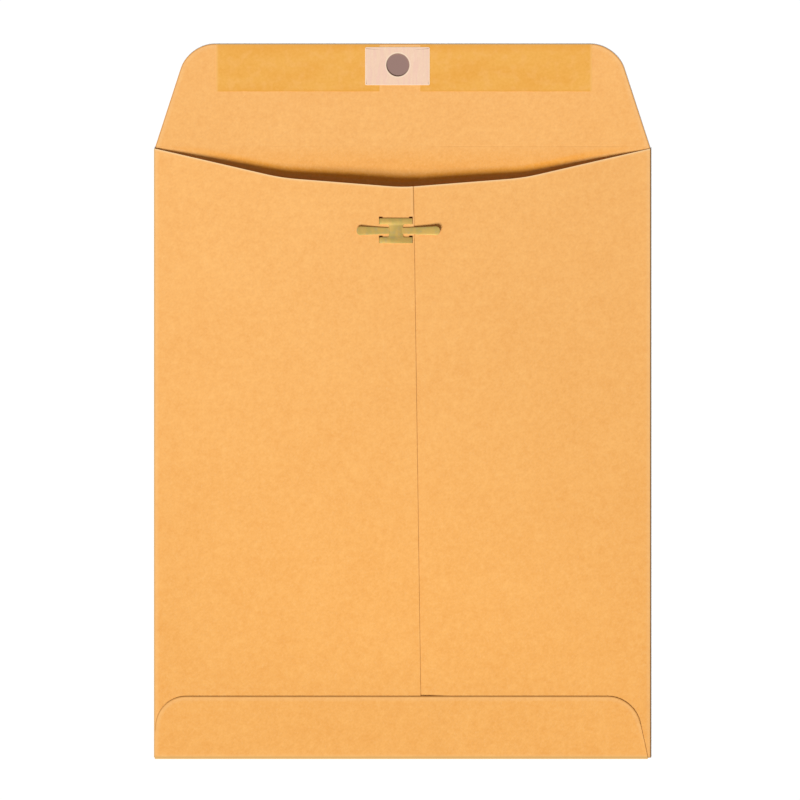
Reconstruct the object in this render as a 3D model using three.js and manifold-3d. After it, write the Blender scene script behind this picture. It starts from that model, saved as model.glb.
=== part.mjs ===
// A clasp envelope of heavy kraft paper, lying on its address side with its closure flap open.
// Millimetres, +Z up, +Y from the bottom fold to the flap, origin on the table under the middle.
import * as THREE from "three";
import { mergeVertices } from "three/addons/utils/BufferGeometryUtils.js";
import Module from "manifold-3d";

const wasm = await Module();
wasm.setup();

// The folded body
const bodyWidth = 254;
const bodyHeight = 312.2; // bottom fold to flap fold
const paper = 0.2; // thickness of the kraft sheet
const layerGap = 0.15; // air left between two folded layers

// The closure flap
const flapHeight = 53.2; // flap fold to top edge
const flapBaseInset = 0.4; // the flap's side starts this far in from the body's edge
const flapTopInset = 17.7; // its top corner stands this far in, before rounding
const flapCornerRadius = 17.9;
const creaseHeight = 1.2; // the soft crease turns about a line this high above the table
const creaseGap = 0.3; // between the rear panel's edge and the flap's

// The mouth of the pocket
const throatDepth = 20.2; // flap fold down to the lowest point of the cut edge
const throatBendX = 61.8; // from the middle to the bend in the cut edge
const throatBendDepth = 15.3; // flap fold down to that bend
const throatBendRadius = 110;
const throatMiddleRadius = 90;
const gape = 5.4; // how far the front stands off the rear panel at the mouth
const flatRim = 3; // the front lies flat for this far in from each side fold
const lowerShare = 0.2; // of the way from the bottom flap to the mouth, the lower lengths' end
const upperShare = 0.65; // and the upper lengths' start

// The centre seam, with the left panel over the right one
const seamTopX = 5.3; // visible edge of the left panel at the flap fold
const seamBottomX = 9.7; // the same edge at the bottom fold
const seamOverlap = 22;
const glueFilm = 0.05;
const seamGlueWidth = 11;
const seamGlueInset = 3.6; // visible edge to the glue

// The bottom flap, folded up over both side panels
const bottomFlapHeight = 32;
const bottomFlapBaseInsetLeft = 0.4;
const bottomFlapTopInsetLeft = 0.8;
const bottomFlapRadiusLeft = 15.6;
const bottomFlapBaseInsetRight = 1.5;
const bottomFlapTopInsetRight = 8.4;
const bottomFlapRadiusRight = 16.8;
const bottomGlueWidth = 18;
const bottomGlueInset = 6; // top edge of the bottom flap to the glue
const bottomGlueEndInset = 20; // body's edge to the end of the glue

// The hole in the flap, its reinforcement and the gum
const holeDiameter = 11.5;
const holeX = -2.4;
const holeBelowTop = 10.7; // flap's top edge to the hole's centre
const patchWidth = 33;
const patchHeight = 19.4;
const patchThickness = 0.1;
const patchDropBelowHole = 0.6;
const patchShiftLeft = 0.2;
const patchCornerRadius = 0.6;
const gumFilm = 0.05;
const gumBreak = 20.9; // bare length under the patch
const gumBreakShiftRight = 1.05; // from the hole to the middle of that length
const gumDepth = 24.3; // down from the flap's top edge
const gumLeftEnd = 95.3; // from the middle
const gumRightEnd = 96.9;

// The metal clasp
const claspX = -3.4;
const claspSetback = 0.1; // the clasp is this much nearer the fold than the hole
const claspHeight = 12.8; // over both bars
const barLength = 16.9;
const barWidth = 3.1;
const barCornerRadius = 0.5;
const webWidth = 7.2;
const webFilletRadius = 0.9;
const metal = 0.35;
const prongGap = 0.3; // between the web's edge and a prong's root
const prongRootWidth = 3;
const prongTipWidth = 4.7;
const prongLeft = { length: 16.1, lift: 0.5 };
const prongRight = { length: 18.6, lift: 0.9 };
const prongTipRounding = 0.9; // share of half the tip's width that is rounded off
const legWidth = 2.4;
const footLength = 4;
const slitClearance = 0.3;
const seatClearance = 0.05;

// How finely the curved sheets and round edges are stepped
const sheetColumns = 22;
const sheetRows = 20;
const prongSteps = 6;
const roundSteps = 10; // of a half turn
const cornerSteps = 4; // of a small rounded corner

// Places that follow from the sizes
const halfWidth = bodyWidth / 2;
const topY = (bodyHeight + flapHeight) / 2;
const foldY = topY - flapHeight;
const bottomY = -topY;
const layer = paper + layerGap;
const rightLevel = layer;
const leftLevel = 2 * layer;
const bottomFlapLevel = 3 * layer;
const bottomFlapTopY = bottomY + bottomFlapHeight;
const mouthY = foldY - throatDepth;
const holeAboveFold = flapHeight - holeBelowTop;
const gumBreakX = holeX + gumBreakShiftRight;
const claspY = foldY - holeAboveFold + claspSetback;
const claspSeat = leftLevel + paper + bow(0, claspY + claspHeight / 2) + seatClearance;
const cutHeight = 2 * (claspSeat + metal + prongRight.lift); // clears everything that is cut

// The radius of the paper's roll at a fold that lifts a panel to the given level.
function rollRadius(level) {
  return (level + paper) / 2;
}

// Height that the gaping front adds at a point: an arch from rim to rim that dies away
// towards the bottom flap.
function bow(x, y) {
  const across = Math.min(Math.abs(x) / (halfWidth - flatRim), 1);
  const down = THREE.MathUtils.clamp((mouthY - y) / (mouthY - bottomFlapTopY), 0, 1);
  return gape * Math.cos((Math.PI / 2) * across) * (1 - down ** 4) ** 2;
}

// X of the seam's visible edge at a height.
function seamX(y) {
  return THREE.MathUtils.mapLinear(y, foldY, bottomY, seamTopX, seamBottomX);
}

// A closed geometry as a solid that can be joined and cut.
function solid(geometry) {
  const bare = geometry.clone();
  bare.deleteAttribute("normal");
  bare.deleteAttribute("uv");
  const merged = mergeVertices(bare, 1e-5);
  return new wasm.Manifold(
    new wasm.Mesh({
      numProp: 3,
      vertProperties: new Float32Array(merged.attributes.position.array),
      triVerts: new Uint32Array(merged.index.array),
    }),
  );
}

// A solid as a geometry again.
function geometryOf(made) {
  const mesh = made.getMesh();
  const geometry = new THREE.BufferGeometry();
  geometry.setAttribute("position", new THREE.BufferAttribute(mesh.vertProperties, 3));
  geometry.setIndex(new THREE.BufferAttribute(mesh.triVerts, 1));
  geometry.computeVertexNormals();
  return geometry;
}

// An outline through the given corners, each { x, y, radius } rounded by an arc.
function roundedOutline(corners) {
  const shape = new THREE.Shape();
  const points = corners.map((c) => new THREE.Vector2(c.x, c.y));
  corners.forEach((corner, i) => {
    const here = points[i];
    const toBefore = points.at(i - 1).clone().sub(here).normalize();
    const toAfter = points[(i + 1) % points.length].clone().sub(here).normalize();
    const half = Math.acos(THREE.MathUtils.clamp(toBefore.dot(toAfter), -1, 1)) / 2;
    const radius = corner.radius ?? 0;
    const reach = radius / Math.tan(half);
    const start = here.clone().addScaledVector(toBefore, reach);
    if (i === 0) shape.moveTo(start.x, start.y);
    else shape.lineTo(start.x, start.y);
    if (radius > 0) {
      const end = here.clone().addScaledVector(toAfter, reach);
      const inward = toBefore.clone().add(toAfter).normalize();
      const centre = here.clone().addScaledVector(inward, radius / Math.sin(half));
      const from = start.clone().sub(centre).angle();
      const to = end.clone().sub(centre).angle();
      shape.absarc(centre.x, centre.y, radius, from, to, toBefore.cross(toAfter) > 0);
    }
  });
  shape.closePath();
  return shape;
}

// A shape extruded to a depth, with each of its arcs in the given number of steps.
function extruded(shape, depth, steps) {
  return new THREE.ExtrudeGeometry(shape, { depth, bevelEnabled: false, curveSegments: steps / 2 });
}

// A flat sheet of the given outline.
function flatSheet(outline, bottom, thickness, steps) {
  return extruded(outline, thickness, steps).translate(0, 0, bottom);
}

// A tall block of the given outline, to cut a curved sheet with.
function tallBlock(outline) {
  return solid(flatSheet(outline, -cutHeight, 2 * cutHeight, roundSteps));
}

// A block from one corner to the other.
function block(x0, y0, z0, x1, y1, z1) {
  const made = new THREE.BoxGeometry(x1 - x0, y1 - y0, z1 - z0);
  return made.translate((x0 + x1) / 2, (y0 + y1) / 2, (z0 + z1) / 2);
}

// A sheet stepped at the given x and y values and raised by lift(x, y).
function steppedSheet(xs, ys, bottom, thickness, lift) {
  const columns = xs.length - 1;
  const rows = ys.length - 1;
  const made = new THREE.BoxGeometry(1, 1, 1, columns, rows, 1);
  const places = made.attributes.position;
  for (let i = 0; i < places.count; i += 1) {
    const x = xs[Math.round((places.getX(i) + 0.5) * columns)];
    const y = ys[Math.round((places.getY(i) + 0.5) * rows)];
    const z = bottom + (places.getZ(i) + 0.5) * thickness + lift(x, y);
    places.setXYZ(i, x, y, z);
  }
  return made;
}

// Evenly spaced values from one to another.
function spaced(from, to, steps) {
  return Array.from({ length: steps + 1 }, (_, i) => from + ((to - from) * i) / steps);
}

// The gaping front as one full-width sheet at a level: flat at both rims and under the bottom flap.
function bowedSheet(level, thickness) {
  const bowEnd = halfWidth - flatRim;
  const rim = halfWidth - flatRim / 3;
  const xs = [-rim, ...spaced(-bowEnd, bowEnd, sheetColumns), rim];
  const ys = [bottomY, ...spaced(bottomFlapTopY, foldY, sheetRows)];
  return solid(steppedSheet(xs, ys, level, thickness, bow));
}

// The paper's half round roll at a fold, with a flat tail on top that joins its panel.
// From the start, on the table at the body's edge, its tail points inward and its length runs along.
function foldRoll(level, length, inward, along, start) {
  const radius = rollRadius(level);
  const tail = flatRim / 2;
  const profile = new THREE.Shape();
  profile.moveTo(tail, 2 * radius);
  profile.lineTo(radius, 2 * radius);
  profile.absarc(radius, radius, radius, Math.PI / 2, (3 * Math.PI) / 2, false);
  profile.lineTo(radius, paper);
  profile.absarc(radius, radius, radius - paper, (3 * Math.PI) / 2, Math.PI / 2, true);
  profile.lineTo(tail, 2 * radius - paper);
  profile.closePath();
  const frame = new THREE.Matrix4().makeBasis(inward, new THREE.Vector3(0, 0, 1), along);
  frame.setPosition(start);
  return solid(extruded(profile, length, roundSteps).applyMatrix4(frame));
}

// The whole front in plan, with the wide V of the mouth cut into its top edge.
function frontOutline() {
  const low = bottomY + rollRadius(bottomFlapLevel) + layerGap;
  const top = foldY - creaseGap / 2;
  return roundedOutline([
    { x: -halfWidth, y: low },
    { x: halfWidth, y: low },
    { x: halfWidth, y: top },
    { x: throatBendX, y: foldY - throatBendDepth, radius: throatBendRadius },
    { x: 0, y: mouthY, radius: throatMiddleRadius },
    { x: -throatBendX, y: foldY - throatBendDepth, radius: throatBendRadius },
    { x: -halfWidth, y: top },
  ]);
}

// A region between two lines beside the seam, each given by its offset from the visible edge.
function besideSeam(fromOffset, toOffset, lowY, highY) {
  return roundedOutline([
    { x: seamX(lowY) + fromOffset, y: lowY },
    { x: seamX(lowY) + toOffset, y: lowY },
    { x: seamX(highY) + toOffset, y: highY },
    { x: seamX(highY) + fromOffset, y: highY },
  ]);
}

// The middles of the clasp's four legs.
function legPlaces() {
  const alongX = (barLength - metal) / 2;
  const alongY = (claspHeight - barWidth) / 2;
  return [-1, 1].flatMap((sx) =>
    [-1, 1].map((sy) => ({ x: claspX + sx * alongX, y: claspY + sy * alongY, side: sx })),
  );
}

// A panel with the slits that the clasp's legs pass through.
function slitted(panel) {
  return legPlaces().reduce((left, leg) => {
    const halfX = metal / 2 + slitClearance;
    const halfY = legWidth / 2 + slitClearance;
    const { x, y } = leg;
    const slit = block(x - halfX, y - halfY, -cutHeight, x + halfX, y + halfY, cutHeight);
    return left.subtract(solid(slit));
  }, panel);
}

// The rear panel, which carries the address side.
function rearPanel() {
  const left = -halfWidth + rollRadius(leftLevel);
  const right = halfWidth - rollRadius(rightLevel);
  const low = bottomY + rollRadius(bottomFlapLevel);
  return block(left, low, 0, right, foldY - creaseGap / 2, paper);
}

// A side panel: its share of the gaping front, joined to its roll at the side fold.
// side is -1 for the left panel, 1 for the right one.
function sidePanel(side, level, region) {
  const low = bottomY + rollRadius(bottomFlapLevel) + layerGap;
  const high = foldY - creaseGap / 2;
  const inward = new THREE.Vector3(-side, 0, 0);
  const along = new THREE.Vector3(0, side, 0);
  const start = new THREE.Vector3(side * halfWidth, side > 0 ? low : high, 0);
  const roll = foldRoll(level, high - low, inward, along, start);
  const front = bowedSheet(level, paper).intersect(tallBlock(frontOutline()));
  return slitted(front.intersect(tallBlock(region))).add(roll);
}

// The left panel, whose cut edge shows at the seam.
function leftSidePanel() {
  return sidePanel(-1, leftLevel, besideSeam(-bodyWidth, 0, bottomY, foldY));
}

// The right panel, which runs on under the left one.
function rightSidePanel() {
  return sidePanel(1, rightLevel, besideSeam(-seamOverlap, bodyWidth, bottomY, foldY));
}

// A side panel in three lengths, from the bottom up. Each bends little enough on its own for
// the solid shapes that stand for it in collision to keep the pocket open.
function inLengths(panel) {
  const place = (share) => THREE.MathUtils.lerp(bottomFlapTopY, mouthY, share);
  const [above, lower] = panel.splitByPlane([0, 1, 0], place(lowerShare));
  const [upper, middle] = above.splitByPlane([0, 1, 0], place(upperShare));
  return [lower, middle, upper].map(geometryOf);
}

// The line of glue between the two side panels.
function seamGlue() {
  const level = rightLevel + paper + (layerGap - glueFilm) / 2;
  const low = bottomFlapTopY - bottomGlueInset;
  const high = mouthY - seamGlueInset;
  const strip = besideSeam(-seamGlueInset - seamGlueWidth, -seamGlueInset, low, high);
  return geometryOf(bowedSheet(level, glueFilm).intersect(tallBlock(strip)));
}

// The bottom flap with the roll that brings it up from the rear panel.
function bottomFlap() {
  const left = -halfWidth + bottomFlapBaseInsetLeft;
  const right = halfWidth - bottomFlapBaseInsetRight;
  const outline = roundedOutline([
    { x: left, y: bottomY },
    { x: right, y: bottomY },
    { x: halfWidth - bottomFlapTopInsetRight, y: bottomFlapTopY, radius: bottomFlapRadiusRight },
    { x: -halfWidth + bottomFlapTopInsetLeft, y: bottomFlapTopY, radius: bottomFlapRadiusLeft },
  ]);
  const inward = new THREE.Vector3(0, 1, 0);
  const along = new THREE.Vector3(1, 0, 0);
  const start = new THREE.Vector3(-halfWidth, bottomY, 0);
  const roll = foldRoll(bottomFlapLevel, bodyWidth, inward, along, start);
  const low = bottomY + rollRadius(bottomFlapLevel);
  const upper = bottomFlapLevel + paper;
  const sheet = block(-halfWidth, low, bottomFlapLevel, halfWidth, bottomFlapTopY, upper);
  return geometryOf(roll.add(solid(sheet)).intersect(tallBlock(outline)));
}

// The glue that holds the bottom flap down.
function bottomFlapGlue() {
  const level = leftLevel + paper + (layerGap - glueFilm) / 2;
  const end = halfWidth - bottomGlueEndInset;
  const high = bottomFlapTopY - bottomGlueInset;
  return block(-end, high - bottomGlueWidth, level, end, high, level + glueFilm);
}

// The flap group's own frame starts on the crease line, so these heights are below it.
const flapBottom = -creaseHeight;
const flapTop = flapBottom + paper;

// A round path to take out of an outline for the clasp hole, as four quarter turns.
function claspHole() {
  const hole = new THREE.Path();
  const quarter = Math.PI / 2;
  for (let i = 0; i < 4; i += 1) {
    hole.absarc(holeX, holeAboveFold, holeDiameter / 2, i * quarter, (i + 1) * quarter, false);
  }
  return hole;
}

// The closure flap, with its round top corners and the clasp hole.
function closureFlap() {
  const base = halfWidth - flapBaseInset;
  const top = halfWidth - flapTopInset;
  const outline = roundedOutline([
    { x: -base, y: creaseGap / 2 },
    { x: base, y: creaseGap / 2 },
    { x: top, y: flapHeight, radius: flapCornerRadius },
    { x: -top, y: flapHeight, radius: flapCornerRadius },
  ]);
  outline.holes.push(claspHole());
  return flatSheet(outline, flapBottom, paper, roundSteps);
}

// A length of dried gum along the flap's top edge.
function gumStrip(fromX, toX) {
  return block(fromX, flapHeight - gumDepth, flapTop, toX, flapHeight, flapTop + gumFilm);
}

// The stiff patch that stops the clasp hole tearing. It laps over the inner ends of the gum.
function holePatch() {
  const left = holeX - patchShiftLeft - patchWidth / 2;
  const low = holeAboveFold - patchDropBelowHole - patchHeight / 2;
  const outline = roundedOutline([
    { x: left, y: low, radius: patchCornerRadius },
    { x: left + patchWidth, y: low, radius: patchCornerRadius },
    { x: left + patchWidth, y: low + patchHeight, radius: patchCornerRadius },
    { x: left, y: low + patchHeight, radius: patchCornerRadius },
  ]);
  outline.holes.push(claspHole());
  return flatSheet(outline, flapTop + gumFilm, patchThickness, cornerSteps);
}

// The clasp's base: two bars joined by a web, held by legs that pass through both panels
// and are clinched flat inside the pocket.
function claspBase() {
  const bar = barLength / 2;
  const web = webWidth / 2;
  const end = claspHeight / 2;
  const inner = end - barWidth;
  const rightHalf = [
    { x: bar, y: -end, radius: barCornerRadius },
    { x: bar, y: -inner, radius: barCornerRadius },
    { x: web, y: -inner, radius: webFilletRadius },
    { x: web, y: inner, radius: webFilletRadius },
    { x: bar, y: inner, radius: barCornerRadius },
    { x: bar, y: end, radius: barCornerRadius },
  ];
  const leftHalf = rightHalf.map((c) => ({ x: -c.x, y: -c.y, radius: c.radius }));
  const outline = roundedOutline([...rightHalf, ...leftHalf]);
  const flatPlate = flatSheet(outline, claspSeat, metal, cornerSteps);
  const plate = solid(flatPlate.translate(claspX, claspY, 0));
  const lowestBow = bow(Math.abs(claspX) + bar, claspY - end);
  const footTop = rightLevel + lowestBow - seatClearance;
  const footBottom = footTop - metal;
  const made = legPlaces().reduce((joined, leg) => {
    const outer = leg.x + (leg.side * metal) / 2;
    const inside = outer - leg.side * metal;
    const toe = outer - leg.side * footLength;
    const y0 = leg.y - legWidth / 2;
    const y1 = leg.y + legWidth / 2;
    const [legX0, legX1] = [Math.min(outer, inside), Math.max(outer, inside)];
    const [footX0, footX1] = [Math.min(outer, toe), Math.max(outer, toe)];
    const upright = solid(block(legX0, y0, footBottom, legX1, y1, claspSeat + metal / 2));
    const foot = solid(block(footX0, y0, footBottom, footX1, y1, footTop));
    return joined.add(upright).add(foot);
  }, plate);
  return geometryOf(made);
}

// One prong, in a frame on its own bend line at the metal's top face, pointing along +X.
function claspProng(prong) {
  const tip = prongTipWidth / 2;
  const root = prongRootWidth / 2;
  const near = prongGap / 2;
  const far = near + prong.length;
  const outline = roundedOutline([
    { x: near, y: -root },
    { x: far, y: -tip, radius: tip * prongTipRounding },
    { x: far, y: tip, radius: tip * prongTipRounding },
    { x: near, y: root },
  ]);
  const rise = (x) => prong.lift * ((x - near) / prong.length) ** 2;
  const strip = steppedSheet(spaced(near, far, prongSteps), [-tip, tip], -metal, metal, rise);
  return geometryOf(solid(strip).intersect(tallBlock(outline)));
}

// Finishes
const finish = (color, roughness, metalness) => ({ color, roughness, metalness });
const kraft = finish(0xf9b568, 0.9, 0);
const gum = finish(0xf0af55, 0.45, 0);
const cream = finish(0xf2ceb4, 0.8, 0);
const glue = finish(0xe6d9b8, 0.6, 0);
const brass = finish(0xc4a45b, 0.35, 0.9);

function piece(name, geometry, look) {
  const mesh = new THREE.Mesh(geometry, new THREE.MeshStandardMaterial(look));
  mesh.name = name;
  return mesh;
}

// The body, which everything else hangs on
const [leftLower, leftMiddle, leftUpper] = inLengths(leftSidePanel());
const [rightLower, rightMiddle, rightUpper] = inLengths(rightSidePanel());
const envelope = new THREE.Group();
envelope.add(
  piece("rear_panel", rearPanel(), kraft),
  piece("left_side_panel_lower", leftLower, kraft),
  piece("left_side_panel_middle", leftMiddle, kraft),
  piece("left_side_panel_upper", leftUpper, kraft),
  piece("right_side_panel_lower", rightLower, kraft),
  piece("right_side_panel_middle", rightMiddle, kraft),
  piece("right_side_panel_upper", rightUpper, kraft),
  piece("seam_glue", seamGlue(), glue),
  piece("bottom_flap", bottomFlap(), kraft),
  piece("bottom_flap_glue", bottomFlapGlue(), glue),
  piece("clasp_base", claspBase(), brass),
);

// The closure flap turns about the crease line
const flap = new THREE.Group();
flap.position.set(0, foldY, creaseHeight);
flap.add(
  piece("closure_flap", closureFlap(), kraft),
  piece("gum_strip_left", gumStrip(-gumLeftEnd, gumBreakX - gumBreak / 2), gum),
  piece("gum_strip_right", gumStrip(gumBreakX + gumBreak / 2, gumRightEnd), gum),
  piece("hole_patch", holePatch(), cream),
);
envelope.add(flap);

// Each prong turns about the bend line beside the web
const bendX = webWidth / 2 + prongGap / 2;
const prongs = [
  { name: "clasp_prong_left", size: prongLeft, side: -1 },
  { name: "clasp_prong_right", size: prongRight, side: 1 },
];
for (const { name, size, side } of prongs) {
  const bend = new THREE.Group();
  bend.position.set(claspX + side * bendX, claspY, claspSeat + metal);
  bend.rotation.z = side < 0 ? Math.PI : 0;
  bend.add(piece(name, claspProng(size), brass));
  envelope.add(bend);
}

export default envelope;
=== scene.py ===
"""A clasp envelope of heavy kraft paper, lying on its address side with its closure flap open.

The classes hold their sizes in millimetres, as the CAD model does, and every finished mesh is in
metres. Sheets are built on the middle of the paper and then given its thickness.
"""

import logging
import math
from dataclasses import dataclass, field
from enum import Enum, IntEnum
from typing import Callable

import bmesh
import bpy
from mathutils import Matrix, Vector


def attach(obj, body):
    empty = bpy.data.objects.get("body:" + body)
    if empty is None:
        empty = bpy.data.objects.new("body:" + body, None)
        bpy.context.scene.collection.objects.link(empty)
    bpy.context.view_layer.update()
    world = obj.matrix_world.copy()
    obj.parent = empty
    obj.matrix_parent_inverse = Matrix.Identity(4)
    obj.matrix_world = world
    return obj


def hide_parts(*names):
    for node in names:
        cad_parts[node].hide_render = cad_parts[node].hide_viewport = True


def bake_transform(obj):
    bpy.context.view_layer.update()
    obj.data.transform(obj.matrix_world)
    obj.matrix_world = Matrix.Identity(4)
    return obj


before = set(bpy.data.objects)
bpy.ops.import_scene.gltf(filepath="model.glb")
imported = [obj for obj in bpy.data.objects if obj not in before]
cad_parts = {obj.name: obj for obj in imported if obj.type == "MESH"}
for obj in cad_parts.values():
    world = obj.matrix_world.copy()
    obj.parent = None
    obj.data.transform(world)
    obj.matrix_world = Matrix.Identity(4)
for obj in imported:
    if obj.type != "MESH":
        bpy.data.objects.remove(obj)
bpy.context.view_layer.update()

MM = 0.001
LAID_FLAT = "laid_flat"
# Mesh attribute for the pale band along the mouth's cut edge: painted highlight
MOUTH_HIGHLIGHT = "painted_mouth_highlight"
OUTLINE = "outline"
# Mesh attribute for where the rear panel takes painted bounce light inside the pocket
POCKET_BOUNCE = "pocket_bounce"

# Distances in millimetres within which a point is on a cut, two points are one, and a point is on a line
ON_CUT = 1e-5
TOUCHING = 1e-4
NEAR = 1e-3

# Angle in degrees below which the steps of a paper roll shade smooth
SMOOTH_ROLL = 50.0

log = logging.getLogger("clasp_envelope")

Colour = tuple[float, float, float]
Point = tuple[float, float]


class Side(Enum):
    """A side of the envelope seen from the clasp side, as its sign along X."""

    LEFT = -1
    RIGHT = 1


class Body(Enum):
    """The bodies of the CAD model."""

    ENVELOPE = "envelope"
    FLAP = "flap"
    LEFT_PRONG = "left_prong"
    RIGHT_PRONG = "right_prong"


class Layer(IntEnum):
    """The sheets by how many layers each one lies on."""

    RIGHT_PANEL = 1
    LEFT_PANEL = 2
    BOTTOM_FLAP = 3


class Place(Enum):
    """What a pattern is laid out on: the object's own space, or the piece as it lay before it bent."""

    OBJECT = "object"
    LAID_FLAT = "laid flat"


# Shader values and recipes


@dataclass(frozen=True)
class Grain:
    """A soft pattern of marks.

    It has their width in millimetres, how many finer layers are in them, how many times longer than wide they
    are and the angle of their length from Y in degrees. Where high isn't 0, the pattern is cut to separate
    marks: none below low, and full ones above high.
    """

    size: float
    layers: float = 2.0
    longer: float = 1.0
    turn: float = 0.0
    low: float = 0.0
    high: float = 0.0


@dataclass(frozen=True)
class Value:
    """A number that varies over a surface: the output of a shader node."""

    recipe: "Recipe"
    socket: bpy.types.NodeSocket

    def __add__(self, other: "Value | float") -> "Value":
        """Returns self + other."""
        return self.recipe.maths("ADD", self, other)

    def __radd__(self, other: float) -> "Value":
        """Returns other + self."""
        return self.recipe.maths("ADD", other, self)

    def __sub__(self, other: "Value | float") -> "Value":
        """Returns self - other."""
        return self.recipe.maths("SUBTRACT", self, other)

    def __rsub__(self, other: float) -> "Value":
        """Returns other - self."""
        return self.recipe.maths("SUBTRACT", other, self)

    def __mul__(self, other: "Value | float") -> "Value":
        """Returns self * other."""
        return self.recipe.maths("MULTIPLY", self, other)

    def __rmul__(self, other: float) -> "Value":
        """Returns other * self."""
        return self.recipe.maths("MULTIPLY", other, self)

    def __abs__(self) -> "Value":
        """Returns the size of self without its sign."""
        return self.recipe.maths("ABSOLUTE", self)

    def clamped(self) -> "Value":
        """Returns self kept between 0 and 1."""
        return self.recipe.maths("ADD", self, 0.0, clamp=True)

    def between(self, low: float, high: float) -> "Value":
        """Returns a smooth step: 0 below low, 1 above high, or the other way round if low > high.

        Args:
            low: where the step is 0.
            high: where the step is 1.
        """
        values = {"Value": self, "From Min": low, "From Max": high}
        made = self.recipe.node("ShaderNodeMapRange", {"interpolation_type": "SMOOTHSTEP"}, values)
        return Value(self.recipe, made.outputs[0])


Source = Value | bpy.types.NodeSocket | float | tuple


class Recipe:
    """Builds one node tree, of a material or of the world."""

    def __init__(self, tree: bpy.types.NodeTree, place: Place = Place.OBJECT) -> None:
        """Empties the tree.

        Args:
            tree: the node tree to build in.
            place: what its patterns are laid out on.
        """
        self.tree = tree
        tree.nodes.clear()
        self.place = place

    def node(self, kind: str, settings: dict | None = None, values: dict | None = None) -> bpy.types.Node:
        """Adds a node.

        Args:
            kind: the node's type.
            settings: its own settings, which are set first.
            values: a value or a link for each named or numbered input.

        Returns:
            The new node.
        """
        made = self.tree.nodes.new(kind)
        for name, setting in (settings or {}).items():
            setattr(made, name, setting)
        for name, value in (values or {}).items():
            source = value.socket if isinstance(value, Value) else value
            if isinstance(source, bpy.types.NodeSocket):
                self.tree.links.new(source, made.inputs[name])
            elif made.inputs[name].type == "RGBA":
                made.inputs[name].default_value = (*source, 1.0)
            else:
                made.inputs[name].default_value = source
        return made

    def maths(self, operation: str, *numbers: Source, clamp: bool = False) -> Value:
        """Returns the result of a Math node.

        Args:
            operation: what it works out.
            numbers: its inputs in order.
            clamp: keep the result between 0 and 1.
        """
        settings = {"operation": operation, "use_clamp": clamp}
        made = self.node("ShaderNodeMath", settings, dict(enumerate(numbers)))
        return Value(self, made.outputs[0])

    def vector_maths(self, operation: str, values: dict[int, Source]) -> bpy.types.Node:
        """Returns a Vector Math node.

        Args:
            operation: what it works out.
            values: its inputs by number.
        """
        return self.node("ShaderNodeVectorMath", {"operation": operation}, values)

    def coordinates(self) -> bpy.types.NodeSocket:
        """Returns the place on the piece, in metres."""
        if self.place is Place.LAID_FLAT:
            return self.node("ShaderNodeAttribute", {"attribute_name": LAID_FLAT}).outputs["Vector"]
        return self.node("ShaderNodeTexCoord").outputs["Object"]

    def along(self, axis: str) -> Value:
        """Returns the place along one axis, in millimetres.

        Args:
            axis: X, Y or Z.
        """
        split = self.node("ShaderNodeSeparateXYZ", None, {0: self.coordinates()})
        return Value(self, split.outputs[axis]) * (1 / MM)

    def stretched(self, size: float, longer: float, turn: float) -> bpy.types.NodeSocket:
        """Returns coordinates for a pattern of a real size.

        Args:
            size: width of the pattern's marks in millimetres.
            longer: how many times longer than wide they are.
            turn: angle of their length from Y, in degrees.
        """
        rotation = (0.0, 0.0, math.radians(turn))
        turned = self.node("ShaderNodeMapping", None, {"Vector": self.coordinates(), "Rotation": rotation})
        scale = 1 / (size * MM)
        values = {"Vector": turned.outputs[0], "Scale": (scale, scale / longer, scale)}
        return self.node("ShaderNodeMapping", None, values).outputs[0]

    def noise(self, grain: Grain) -> Value:
        """Returns soft noise from 0 to 1.

        Args:
            grain: its marks.
        """
        place = self.stretched(grain.size, grain.longer, grain.turn)
        values = {"Vector": place, "Scale": 1.0, "Detail": grain.layers}
        made = Value(self, self.node("ShaderNodeTexNoise", {"noise_dimensions": "3D"}, values).outputs[0])
        return made.between(grain.low, grain.high) if grain.high else made

    def specks(self, spacing: float, radius: float) -> Value:
        """Returns small round specks, 1 inside them.

        Args:
            spacing: usual distance between two specks in millimetres.
            radius: their radius in millimetres.
        """
        values = {"Vector": self.stretched(spacing, 1.0, 0.0), "Scale": 1.0, "Randomness": 1.0}
        made = self.node("ShaderNodeTexVoronoi", {"feature": "F1"}, values)
        rim, core = 1.5 * radius / spacing, 0.6 * radius / spacing
        return Value(self, made.outputs["Distance"]).between(rim, core)

    def attribute(self, name: str) -> Value:
        """Returns a number that the mesh carries.

        Args:
            name: the attribute's name.
        """
        return Value(self, self.node("ShaderNodeAttribute", {"attribute_name": name}).outputs["Fac"])

    def mix(self, share: Source, first: Source, second: Source) -> bpy.types.NodeSocket:
        """Returns a colour between two.

        Args:
            share: 0 for the first colour, 1 for the second.
            first: one colour.
            second: the other colour.
        """
        made = self.node("ShaderNodeMix", {"data_type": "RGBA"}, {0: share, 6: first, 7: second})
        return made.outputs[2]

    def brightened(self, colour: Source, by: Value) -> bpy.types.NodeSocket:
        """Returns a colour times a number.

        Args:
            colour: the colour.
            by: the number.
        """
        return self.vector_maths("SCALE", {0: colour, 3: by}).outputs[0]

    def tinted(self, colour: Source, tint: Colour, by: Value) -> bpy.types.NodeSocket:
        """Returns a colour with a share of another one added to it.

        Args:
            colour: the colour.
            tint: the colour to add.
            by: how much of it, which may be less than 0.
        """
        return self.vector_maths("ADD", {0: colour, 1: self.brightened(tint, by)}).outputs[0]

    def bump(self, height: Value, relief: float) -> bpy.types.NodeSocket:
        """Returns a normal that follows small relief.

        Args:
            height: the surface's height from 0 to 1.
            relief: the height of 1, in millimetres.
        """
        values = {"Height": height, "Distance": relief * MM, "Strength": 1.0}
        return self.node("ShaderNodeBump", None, values).outputs[0]

    def surface(self, values: dict) -> None:
        """Ends a material's tree with a Principled shader.

        Args:
            values: the shader's inputs.
        """
        shader = self.node("ShaderNodeBsdfPrincipled", None, values)
        self.node("ShaderNodeOutputMaterial", None, {"Surface": shader.outputs[0]})


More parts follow.
